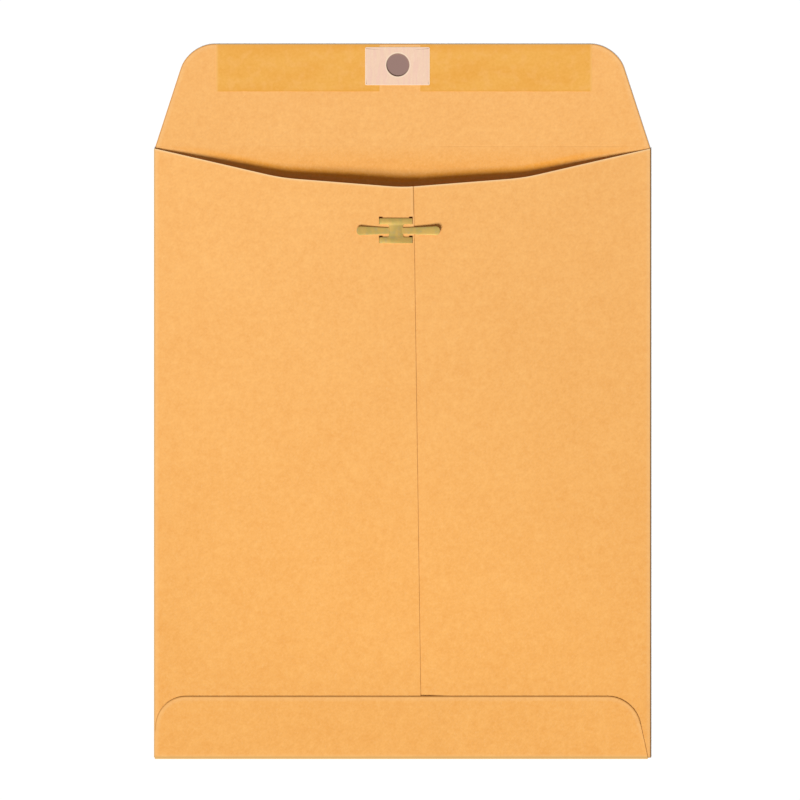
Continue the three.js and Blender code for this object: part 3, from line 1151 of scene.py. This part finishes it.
@dataclass
class SidePanel:
    """One half of the gaping front, with the roll of paper at its side fold."""

    layout: Layout
    side: Side
    kraft: bpy.types.Material
    slits: Slits
    roll_steps: int = 10
    columns: int = 46
    rows: int = 76
    crowding: float = 1.6
    highlight_width: float = 1.5
    # Width, reach and fade of the painted shade along the seam's cut edge
    seam_shade_width: float = 2.3
    seam_shade_reach: float = 28.0
    seam_shade_fade: float = 16.0

    @property
    def layers(self) -> Layer:
        """How many layers this panel lies on: the left panel laps over the right one."""
        return Layer.LEFT_PANEL if self.side is Side.LEFT else Layer.RIGHT_PANEL

    def inner_x(self, y: float) -> float:
        """Returns the panel's cut edge beside the seam at a height."""
        hidden = 0.0 if self.side is Side.LEFT else self.layout.seam_overlap
        return self.layout.seam_x(y) - hidden

    def crowded(self, step: int, steps: int) -> float:
        """Returns a share from 0 to 1 whose steps crowd towards 1."""
        return 1 - (1 - step / steps) ** self.crowding

    def height_at(self, x: float, row: int) -> float:
        """Returns the height of a row at x."""
        lay = self.layout
        low = lay.bottom_roll_top + lay.layer_gap
        return low + (lay.mouth_edge(x) - low) * self.crowded(row, self.rows)

    def place(self, column: int, row: int) -> Vector:
        """Returns the place of a point of the sheet: first round the roll, then over to the seam."""
        lay, sign = self.layout, self.side.value
        level = lay.level(self.layers)
        outer = lay.roll_radius(level)
        middle = outer - lay.paper / 2
        fold_x = sign * (lay.half_width - outer)
        if column < self.roll_steps:
            angle = math.pi * column / self.roll_steps - math.pi / 2
            x = fold_x + sign * middle * math.cos(angle)
            return Vector((x, self.height_at(x, row), outer + middle * math.sin(angle)))
        share = self.crowded(column - self.roll_steps, self.columns)
        x = fold_x + (self.inner_x(self.height_at(fold_x, row)) - fold_x) * share
        x = fold_x + (self.inner_x(self.height_at(x, row)) - fold_x) * share
        y = self.height_at(x, row)
        return Vector((x, y, level + lay.paper / 2 + lay.bow(x, y)))

    def mark_highlight(self, bm: bmesh.types.BMesh) -> None:
        """Marks how near each point is to the mouth's cut edge, for the painted highlight along it.

        Args:
            bm: the sheet.
        """
        highlight = bm.verts.layers.float.new(MOUTH_HIGHLIGHT)
        for vert in bm.verts:
            away = self.layout.mouth_edge(vert.co.x) - vert.co.y
            vert[highlight] = clamped(1 - away / self.highlight_width)

    def shade_seam_edge(self, bm: bmesh.types.BMesh) -> None:
        """Marks the upper end of the cut edge beside the seam, for painted shade along it.

        Args:
            bm: the sheet.
        """
        marked = bm.verts.layers.float.new(OUTLINE)
        low = self.layout.mouth_y - self.seam_shade_reach
        for vert in bm.verts:
            across = clamped(1 - abs(self.inner_x(vert.co.y) - vert.co.x) / self.seam_shade_width)
            vert[marked] = across * clamped((vert.co.y - low) / self.seam_shade_fade)

    def build(self) -> bpy.types.Object:
        """Builds the panel and returns it."""
        lay = self.layout
        bm = shaped_grid(self.roll_steps + self.columns, self.rows, self.place)
        self.slits.cut(bm)
        self.mark_highlight(bm)
        self.shade_seam_edge(bm)
        name = f"kraft_{self.side.name.lower()}_side_panel"
        trim = Trim(wall=lay.paper, smooth_below=SMOOTH_ROLL)
        piece = finished(bm, name, self.kraft, trim)
        node = f"{self.side.name.lower()}_side_panel"
        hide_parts(*(f"{node}_{part}" for part in ("lower", "middle", "upper")))
        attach(piece, Body.ENVELOPE.value)
        return piece


@dataclass
class BottomFlap:
    """The bottom flap, folded up over both side panels and glued down."""

    layout: Layout
    kraft: bpy.types.Material
    base_insets: Point = (0.4, 1.5)
    top_insets: Point = (0.8, 8.4)
    radii: Point = (15.6, 16.8)
    roll_steps: int = 12
    corner_segments: int = 14
    outline_width: float = 3.0
    step_start: float = 2.5
    step_width: float = 12.0
    step_cuts: int = 8

    def settle(self, bm: bmesh.types.BMesh) -> None:
        """Lowers the part right of the seam by a layer, so that it lies on the right panel.

        Args:
            bm: the sheet with its roll.
        """
        lay = self.layout
        start = lay.seam_bottom_x + self.step_start
        cut_lines(bm, 0, spaced(start, start + self.step_width, self.step_cuts))
        for vert in bm.verts:
            share = clamped((vert.co.x - start) / self.step_width)
            eased = share * share * (3 - 2 * share)
            raised = (vert.co.z - lay.paper / 2) / lay.level(Layer.BOTTOM_FLAP)
            vert.co.z -= eased * raised * (lay.paper + lay.layer_gap)

    def corner(self, column: int, row: int) -> Vector:
        """Returns the place of a corner of the flat sheet."""
        lay = self.layout
        sign = 1 if column else -1
        level, low = lay.level(Layer.BOTTOM_FLAP), lay.bottom_roll_top
        share = (low - lay.bottom_y) / lay.bottom_flap_height
        base, top = self.base_insets[column], self.top_insets[column]
        inset = top if row else base + (top - base) * share
        y = lay.bottom_flap_top_y if row else low
        return Vector((sign * (lay.half_width - inset), y, level + lay.paper / 2))

    def build(self) -> bpy.types.Object:
        """Builds the flap with its round corners and its roll, and returns it."""
        lay = self.layout
        bm = shaped_grid(1, 1, self.corner)
        low = min(v.co.y for v in bm.verts)
        fold = [e for e in bm.edges if all(abs(v.co.y - low) < NEAR for v in e.verts)]
        for column in (0, 1):
            lean = math.atan((self.top_insets[column] - self.base_insets[column]) / lay.bottom_flap_height)
            reach = self.radii[column] / math.tan((math.pi / 2 + lean) / 2)
            rounded_corner(bm, self.corner(column, 1).xy, reach, self.corner_segments)
        radius = lay.roll_radius(lay.level(Layer.BOTTOM_FLAP))
        bmesh.ops.spin(
            bm, geom=[*fold, *fold[0].verts], cent=(0.0, lay.bottom_y + radius, radius),
            axis=(1.0, 0.0, 0.0), angle=math.pi, steps=self.roll_steps,
        )
        bmesh.ops.remove_doubles(bm, verts=bm.verts, dist=TOUCHING)
        mark_outline(bm, self.outline_width, above=lay.bottom_roll_top + NEAR)
        self.settle(bm)
        trim = Trim(wall=lay.paper, smooth_below=SMOOTH_ROLL)
        piece = finished(bm, "kraft_bottom_flap", self.kraft, trim)
        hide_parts("bottom_flap")
        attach(piece, Body.ENVELOPE.value)
        return piece


@dataclass
class FlapPaste:
    """The film of paste that holds the bottom flap down on both side panels."""

    layout: Layout
    paste: bpy.types.Material
    flap: BottomFlap
    film: float = 0.05
    width: float = 18.0
    inset: float = 6.0
    end_inset: float = 20.0

    def build(self) -> bpy.types.Object:
        """Builds the film, which follows the flap over the seam's step, and returns it."""
        lay = self.layout
        end, high = lay.half_width - self.end_inset, lay.bottom_flap_top_y - self.inset
        corners = ((-end, high - self.width), (end, high))
        middle = lay.level(Layer.LEFT_PANEL) + lay.paper + self.film

        def place(column: int, row: int) -> Vector:
            """Returns the place of a corner of the film."""
            return Vector((corners[column][0], corners[row][1], middle))

        bm = shaped_grid(1, 1, place)
        self.flap.settle(bm)
        piece = finished(bm, "flap_paste_film", self.paste, Trim(wall=self.film))
        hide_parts("bottom_flap_glue")
        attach(piece, Body.ENVELOPE.value)
        return piece


# What lies on the closure flap


@dataclass
class GumStrips:
    """The two lengths of dried gum along the flap's top edge."""

    layout: Layout
    bare: float = 20.9
    bare_shift_right: float = 1.05
    depth: float = 24.3
    ends: Point = (-95.3, 96.9)
    edge_wave: float = 0.12
    ripples: tuple[tuple[float, float, float], ...] = ((0.6, 0.31, 1.3), (0.4, 0.83, 0.0))
    columns: int = 90
    edge: float = 0.018

    def gum(self) -> bpy.types.Material:
        """Makes the gum's finish, which thins towards the strips' ends, and returns it."""
        return DriedGum().make(self.layout.top_y, self.layout.top_y - self.depth, self.ends)

    def build(self, side: Side, gum: bpy.types.Material) -> bpy.types.Object:
        """Builds one strip, whose lower edge wanders a little as brushed gum does.

        Args:
            side: which strip.
            gum: its finish.

        Returns:
            The strip.
        """
        lay = self.layout
        inner = lay.hole_x + self.bare_shift_right + side.value * self.bare / 2
        outer = self.ends[0] if side is Side.LEFT else self.ends[1]
        left, right = sorted((inner, outer))
        low = lay.top_y - self.depth

        def place(column: int, row: int) -> Vector:
            """Returns the place of a point of the film."""
            x = left + (right - left) * column / self.columns
            wave = 0.5 * (1 + sum(share * math.sin(rate * x + phase) for share, rate, phase in self.ripples))
            y = lay.top_y if row else low + self.edge_wave * wave
            return Vector((x, y, lay.paper + lay.gum_film / 2))

        name = f"dried_gum_{side.name.lower()}"
        trim = Trim(wall=lay.gum_film, edge=self.edge, edge_steps=1)
        piece = finished(shaped_grid(self.columns, 1, place), name, gum, trim)
        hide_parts(f"gum_strip_{side.name.lower()}")
        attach(piece, Body.FLAP.value)
        return piece


@dataclass
class HolePatch:
    """The card patch that stops the clasp hole tearing."""

    layout: Layout
    card: bpy.types.Material
    width: float = 33.0
    height: float = 19.4
    thickness: float = 0.1
    drop: float = 0.6
    shift_left: float = 0.2
    corner_radius: float = 0.6
    corner_segments: int = 4
    outline_width: float = 0.8
    hole_margin: float = 7.6
    hole_steps: int = 14
    edge: float = 0.02

    def corner(self, column: int, row: int) -> Vector:
        """Returns the place of a corner of the patch."""
        lay = self.layout
        x = lay.hole.x - self.shift_left + (column - 0.5) * self.width
        y = lay.hole.y - self.drop + (row - 0.5) * self.height
        return Vector((x, y, lay.paper + lay.gum_film + self.thickness / 2))

    def build(self) -> bpy.types.Object:
        """Builds the patch with its hole and returns it."""
        bm = shaped_grid(1, 1, self.corner)
        for column in (0, 1):
            for row in (0, 1):
                rounded_corner(bm, self.corner(column, row).xy, self.corner_radius, self.corner_segments)
        mark_outline(bm, self.outline_width)
        centre = self.layout.hole.copy()
        centre.z = self.corner(0, 0).z
        round_hole(bm, centre, self.layout.hole_diameter / 2, self.hole_margin, self.hole_steps)
        trim = Trim(wall=self.thickness, edge=self.edge, edge_steps=1)
        piece = finished(bm, "hole_patch_card", self.card, trim)
        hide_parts("hole_patch")
        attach(piece, Body.FLAP.value)
        return piece


# The metal clasp


@dataclass(frozen=True)
class Prong:
    """The sizes of one prong."""

    side: Side
    body: Body
    length: float
    lift: float


@dataclass
class Clasp:
    """The stamped clasp: a base of two bars and a web, four clinched legs and two prongs."""

    layout: Layout
    metal_finish: bpy.types.Material
    x: float = -3.4
    setback: float = 0.1
    height: float = 12.8
    bar_length: float = 16.9
    bar_width: float = 3.1
    bar_corner: float = 0.5
    bar_corner_steps: int = 5
    web_width: float = 7.2
    web_fillet: float = 0.95
    web_fillet_steps: int = 6
    metal: float = 0.35
    seat_clearance: float = 0.05
    leg_width: float = 2.4
    foot_length: float = 4.0
    foot_bend: float = 0.2
    foot_bend_steps: int = 5
    prong_gap: float = 0.3
    root_width: float = 3.0
    tip_width: float = 4.7
    root_reach: float = 0.65
    proud: float = 0.012
    crown: float = 0.07
    crown_rise: float = 6.0
    tip_rounding: float = 0.9
    tip_steps: int = 9
    bend_before: float = 0.3
    bend_after: float = 0.5
    bend_cuts: int = 8
    length_cuts: int = 24
    cross_cuts: tuple[float, ...] = (-0.85, -0.5, 0.0, 0.5, 0.85)
    edge: float = 0.07
    prongs: tuple[Prong, ...] = field(default_factory=lambda: (
        Prong(Side.LEFT, Body.LEFT_PRONG, 16.1, 0.5),
        Prong(Side.RIGHT, Body.RIGHT_PRONG, 18.6, 0.9),
    ))

    @property
    def y(self) -> float:
        """Height of the clasp's middle."""
        return self.layout.fold_y - (self.layout.flap_height - self.layout.hole_below_top) + self.setback

    @property
    def seat(self) -> float:
        """Height of the base's underside above the table."""
        lay = self.layout
        highest = lay.bow(0.0, self.y + self.height / 2)
        return lay.level(Layer.LEFT_PANEL) + lay.paper + highest + self.seat_clearance

    @property
    def foot_top(self) -> float:
        """Height of the clinched feet's upper face, just under the right panel."""
        lay = self.layout
        lowest = lay.bow(abs(self.x) + self.bar_length / 2, self.y - self.height / 2)
        return lay.level(Layer.RIGHT_PANEL) + lowest - self.seat_clearance

    def bar_middles(self) -> list[float]:
        """Returns the heights of the two bars' middles."""
        away = (self.height - self.bar_width) / 2
        return [self.y - away, self.y + away]

    def plate(self) -> bmesh.types.BMesh:
        """Returns the flat plate of two bars and a web, with its edges rounded off."""
        bar, web = self.bar_length / 2, self.web_width / 2
        end, inner = self.height / 2, self.height / 2 - self.bar_width
        xs, ys = (-bar, -web, web, bar), (-end, -inner, inner, end)
        bm = shaped_grid(3, 3, lambda c, r: Vector((self.x + xs[c], self.y + ys[r], self.seat)))
        for side in Side:
            low, high = sorted((side.value * web, side.value * bar))
            remove_box(bm, (self.x + low, self.y - inner), (self.x + high, self.y + inner))
        bmesh.ops.dissolve_faces(bm, faces=bm.faces[:])
        for sx in (-1, 1):
            for sy in (-1, 1):
                fillet = (self.x + sx * web, self.y + sy * inner)
                rounded_corner(bm, fillet, self.web_fillet, self.web_fillet_steps)
                for y in (inner, end):
                    corner = (self.x + sx * bar, self.y + sy * y)
                    rounded_corner(bm, corner, self.bar_corner, self.bar_corner_steps)
        raised = bmesh.ops.extrude_face_region(bm, geom=bm.faces[:])["geom"]
        bmesh.ops.translate(bm, vec=(0.0, 0.0, self.metal), verts=only(raised, bmesh.types.BMVert))
        return bm

    def add_leg(self, bm: bmesh.types.BMesh, side: Side, middle_y: float) -> None:
        """Adds a leg that goes down through its slit and is clinched inwards.

        Args:
            bm: the mesh to add it to.
            side: which end of the bar.
            middle_y: height of the bar's middle.
        """
        sign = side.value
        outer = self.x + sign * self.bar_length / 2
        top, turn_z = self.seat + self.metal / 2, self.foot_top + self.foot_bend
        start = Matrix.Translation((outer - sign * self.metal / 2, middle_y, top))
        size = Matrix.Diagonal((self.metal, self.leg_width, 1.0, 1.0))
        verts = bmesh.ops.create_grid(bm, x_segments=1, y_segments=1, size=0.5, matrix=start @ size)["verts"]
        face = verts[0].link_faces[0]
        end = bmesh.ops.extrude_face_region(bm, geom=[face])["geom"]
        bmesh.ops.translate(bm, vec=(0.0, 0.0, turn_z - top), verts=only(end, bmesh.types.BMVert))
        pivot = (outer - sign * (self.metal + self.foot_bend), middle_y, turn_z)
        turned = bmesh.ops.spin(
            bm, geom=only(end, bmesh.types.BMFace), cent=pivot,
            axis=(0.0, 1.0, 0.0), angle=sign * math.pi / 2, steps=self.foot_bend_steps,
        )["geom_last"]
        toe = bmesh.ops.extrude_face_region(bm, geom=only(turned, bmesh.types.BMFace))["geom"]
        reach = self.foot_length - self.metal - self.foot_bend
        bmesh.ops.translate(bm, vec=(-sign * reach, 0.0, 0.0), verts=only(toe, bmesh.types.BMVert))

    def build_base(self) -> bpy.types.Object:
        """Builds the base with its legs and returns it."""
        bm = self.plate()
        for side in Side:
            for middle_y in self.bar_middles():
                self.add_leg(bm, side, middle_y)
        piece = finished(bm, "clasp_base_plate", self.metal_finish, Trim(edge=self.edge))
        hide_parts("clasp_base")
        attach(piece, Body.ENVELOPE.value)
        return piece

    def build_prong(self, prong: Prong) -> bpy.types.Object:
        """Builds a prong as a strip that leaves the web at its root and rises gently towards its tip.

        Args:
            prong: its sizes.

        Returns:
            The prong.
        """
        sign = prong.side.value
        bend_x = self.x + sign * (self.web_width + self.prong_gap) / 2
        near, far = -self.root_reach, self.prong_gap / 2 + prong.length
        root, tip = self.root_width / 2, self.tip_width / 2
        run = far - self.prong_gap / 2

        def corner(column: int, row: int) -> Vector:
            """Returns the place of a corner of the flat strip, which points along X from the bend line."""
            if not column:
                return Vector((near, (2 * row - 1) * root, 0.0))
            return Vector((far, (2 * row - 1) * tip, 0.0))

        bm = shaped_grid(1, 1, corner)
        for row in (0, 1):
            rounded_corner(bm, corner(1, row).xy, tip * self.tip_rounding, self.tip_steps)
        cut_lines(bm, 0, spaced(-self.bend_before, self.bend_after, self.bend_cuts))
        cut_lines(bm, 0, spaced(self.bend_after, far, self.length_cuts)[1:-1])
        cut_lines(bm, 1, [share * root for share in self.cross_cuts])
        for vert in bm.verts:
            along, across = vert.co.x, vert.co.y
            share = clamped((along - self.prong_gap / 2) / run)
            rise = self.proud + (prong.lift - self.proud) * share**2
            fullness = clamped(share * self.crown_rise)
            vert.co.z = rise - fullness * self.crown * (across / tip) ** 2
        bmesh.ops.scale(bm, vec=Vector((sign, 1.0, 1.0)), verts=bm.verts)
        bmesh.ops.recalc_face_normals(bm, faces=bm.faces)
        if bm.faces[0].normal.z < 0:
            bmesh.ops.reverse_faces(bm, faces=bm.faces)
        hinge_z = self.seat + self.metal
        bmesh.ops.translate(bm, vec=(bend_x, self.y, hinge_z), verts=bm.verts)
        name = f"clasp_{prong.side.name.lower()}_prong_strip"
        trim = Trim(wall=self.metal, wall_offset=-1.0, edge=self.edge)
        piece = finished(bm, name, self.metal_finish, trim)
        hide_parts(f"clasp_prong_{prong.side.name.lower()}")
        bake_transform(piece)
        return piece


# Studio


@dataclass(frozen=True)
class Studio:
    """A white sweep under a soft key light from the lower left, seen from straight above."""

    table: Colour = (0.34, 0.215, 0.185)
    fill: Colour = (0.195, 0.158, 0.11)
    key: Colour = (0.78, 0.817, 0.865)
    key_turn: float = 26.0
    key_lean: float = 49.5
    key_softness: float = 24.0
    lit_share: float = 0.93
    glow: float = 2.2
    floor_white: Colour = (0.97, 0.97, 0.97)
    white: Colour = (1.0, 1.0, 1.0)
    floor_size: float = 6.0
    floor_drop: float = 0.1
    glimpse_radius: float = 6.3
    glimpse_drop: float = 0.05
    glimpse_reach: float = 0.5
    glimpse_segments: int = 32
    glimpse_hinge: Point = (3.0, 2.0)
    frame_width: float = 408.9
    frame_centre: Point = (-1.28, 0.77)
    lens: float = 350.0
    sensor: float = 36.0
    clip: Point = (0.1, 50.0)

    def seen_directly(self, mix: Recipe) -> Value:
        """Returns 1 for rays that see the backdrop or its reflection, and 0 for light on the object."""
        path = mix.node("ShaderNodeLightPath")
        rays = ("Is Camera Ray", "Is Glossy Ray", "Is Transmission Ray")
        camera, glossy, through = (Value(mix, path.outputs[name]) for name in rays)
        return (camera + glossy + through).clamped()

    def build_world(self) -> None:
        """Makes the even fill light, which shows as white."""
        world = bpy.data.worlds.new("white_room")
        world.use_nodes = True
        bpy.context.scene.world = world
        mix = Recipe(world.node_tree)
        fill = mix.node("ShaderNodeBackground", None, {"Color": self.fill, "Strength": 1.0})
        white = mix.node("ShaderNodeBackground", None, {"Color": self.white, "Strength": 1.0})
        values = {0: self.seen_directly(mix), 1: fill.outputs[0], 2: white.outputs[0]}
        room = mix.node("ShaderNodeMixShader", None, values)
        mix.node("ShaderNodeOutputWorld", None, {"Surface": room.outputs[0]})

    def floor_material(self) -> bpy.types.Material:
        """Makes the floor's material, white with the object's shadow on it, and returns it."""
        material, mix = new_recipe("white_floor", Place.OBJECT)
        white = mix.node("ShaderNodeBsdfDiffuse", None, {"Color": self.floor_white})
        glow = mix.node("ShaderNodeEmission", None, {"Color": self.white, "Strength": self.glow})
        values = {0: self.lit_share, 1: glow.outputs[0], 2: white.outputs[0]}
        shown = mix.node("ShaderNodeMixShader", None, values)
        dull = mix.node("ShaderNodeBsdfDiffuse", None, {"Color": self.table})
        values = {0: self.seen_directly(mix), 1: dull.outputs[0], 2: shown.outputs[0]}
        floor = mix.node("ShaderNodeMixShader", None, values)
        mix.node("ShaderNodeOutputMaterial", None, {"Surface": floor.outputs[0]})
        return material

    def glimpse_material(self) -> bpy.types.Material:
        """Makes the material of the table under the clasp hole, dull on the floor and clear above it."""
        material, mix = new_recipe("dull_table", Place.OBJECT)
        table = mix.node("ShaderNodeBsdfDiffuse", None, {"Color": self.table})
        clear = mix.node("ShaderNodeBsdfTransparent")
        raised = mix.along("Z").between(self.glimpse_reach / 2, self.glimpse_reach)
        seen = mix.node("ShaderNodeMixShader", None, {0: raised, 1: table.outputs[0], 2: clear.outputs[0]})
        mix.node("ShaderNodeOutputMaterial", None, {"Surface": seen.outputs[0]})
        return material

    def on_stage(self, bm: bmesh.types.BMesh, name: str, material: bpy.types.Material) -> bpy.types.Object:
        """Turns a finished shape into a thing of the studio.

        Args:
            bm: the shape in metres, which is freed.
            name: the thing's name.
            material: its material.

        Returns:
            The thing.
        """
        mesh = bpy.data.meshes.new(name)
        bm.to_mesh(mesh)
        bm.free()
        mesh.materials.append(material)
        thing = bpy.data.objects.new(name, mesh)
        bpy.context.scene.collection.objects.link(thing)
        return thing

    def build_floor(self) -> bpy.types.Object:
        """Makes the floor, just under the object, and returns it."""
        bm = bmesh.new()
        bmesh.ops.create_grid(bm, x_segments=1, y_segments=1, size=self.floor_size / 2)
        bmesh.ops.translate(bm, vec=(0.0, 0.0, -self.floor_drop * MM), verts=bm.verts)
        return self.on_stage(bm, "studio_floor", self.floor_material())

    def build_glimpse(self, hole: Vector) -> bpy.types.Object:
        """Makes the bit of table under the clasp hole.

        Args:
            hole: the clasp hole's centre, in millimetres.

        Returns:
            The bit of table.
        """
        bm = bmesh.new()
        radius = self.glimpse_radius * MM
        bmesh.ops.create_circle(bm, cap_ends=True, segments=self.glimpse_segments, radius=radius)
        place = Vector((hole.x, hole.y, -self.glimpse_drop)) * MM
        bmesh.ops.translate(bm, vec=place, verts=bm.verts)
        glimpse = self.on_stage(bm, "table_glimpse", self.glimpse_material())
        start, end = (place - Vector((0.0, reach * radius, 0.0)) for reach in self.glimpse_hinge)
        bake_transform(glimpse)
        return glimpse

    def build_key(self) -> bpy.types.Object:
        """Makes the key light, a soft distant lamp from the lower left, and returns it."""
        turn, lean = math.radians(self.key_turn), math.radians(self.key_lean)
        towards = Vector((-math.sin(turn) * math.sin(lean), -math.cos(turn) * math.sin(lean), math.cos(lean)))
        lamp = bpy.data.lights.new("key_light", "SUN")
        lamp.energy = max(self.key) * math.pi / math.cos(lean)
        lamp.color = [channel / max(self.key) for channel in self.key]
        lamp.angle = math.radians(self.key_softness)
        key = bpy.data.objects.new("key_light", lamp)
        key.location = towards
        key.rotation_euler = (-towards).to_track_quat("-Z", "Y").to_euler()
        bpy.context.scene.collection.objects.link(key)
        return key

    def build_camera(self) -> bpy.types.Object:
        """Makes the camera, straight above the sheet through a long lens, and returns it."""
        data = bpy.data.cameras.new("copy_stand_camera")
        data.lens, data.sensor_width = self.lens, self.sensor
        distance = self.frame_width * MM * self.lens / self.sensor
        data.clip_start, data.clip_end = self.clip
        camera = bpy.data.objects.new("copy_stand_camera", data)
        camera.location = (self.frame_centre[0] * MM, self.frame_centre[1] * MM, distance)
        bpy.context.scene.collection.objects.link(camera)
        bpy.context.scene.camera = camera
        return camera

    def build(self, hole: Vector) -> None:
        """Builds the studio and sets how the picture is developed.

        Args:
            hole: the clasp hole's centre, in millimetres.
        """
        self.build_world()
        self.build_floor()
        self.build_glimpse(hole)
        self.build_key()
        self.build_camera()
        bpy.context.scene.view_settings.view_transform = "Standard"


def dress_paste(paste: bpy.types.Material) -> None:
    """Gives the hidden seam glue of the CAD model its finish.

    Args:
        paste: the finish.
    """
    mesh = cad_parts["seam_glue"].data
    mesh.materials.clear()
    mesh.materials.append(paste)
    log.info("dressed seam_glue")


def main() -> None:
    """Builds the envelope, piece by piece, and the studio round it."""
    logging.basicConfig(level=logging.INFO, format="%(name)s: %(message)s")
    layout = Layout()
    kraft = KraftPaper().make(layout)
    BackAndClosureFlap(layout, kraft).build()
    clasp = Clasp(layout, PlatedMetal().make())
    slits = Slits(clasp)
    for side in Side:
        SidePanel(layout, side, kraft, slits).build()
    bottom_flap = BottomFlap(layout, kraft)
    bottom_flap.build()
    paste = DriedPaste().make()
    FlapPaste(layout, paste, bottom_flap).build()
    strips = GumStrips(layout)
    gum = strips.gum()
    for side in Side:
        strips.build(side, gum)
    HolePatch(layout, PatchPaper().make(layout.hole, layout.hole_diameter / 2)).build()
    clasp.build_base()
    for prong in clasp.prongs:
        clasp.build_prong(prong)
    dress_paste(paste)
    Studio().build(layout.hole)


if __name__ == "__main__":
    main()
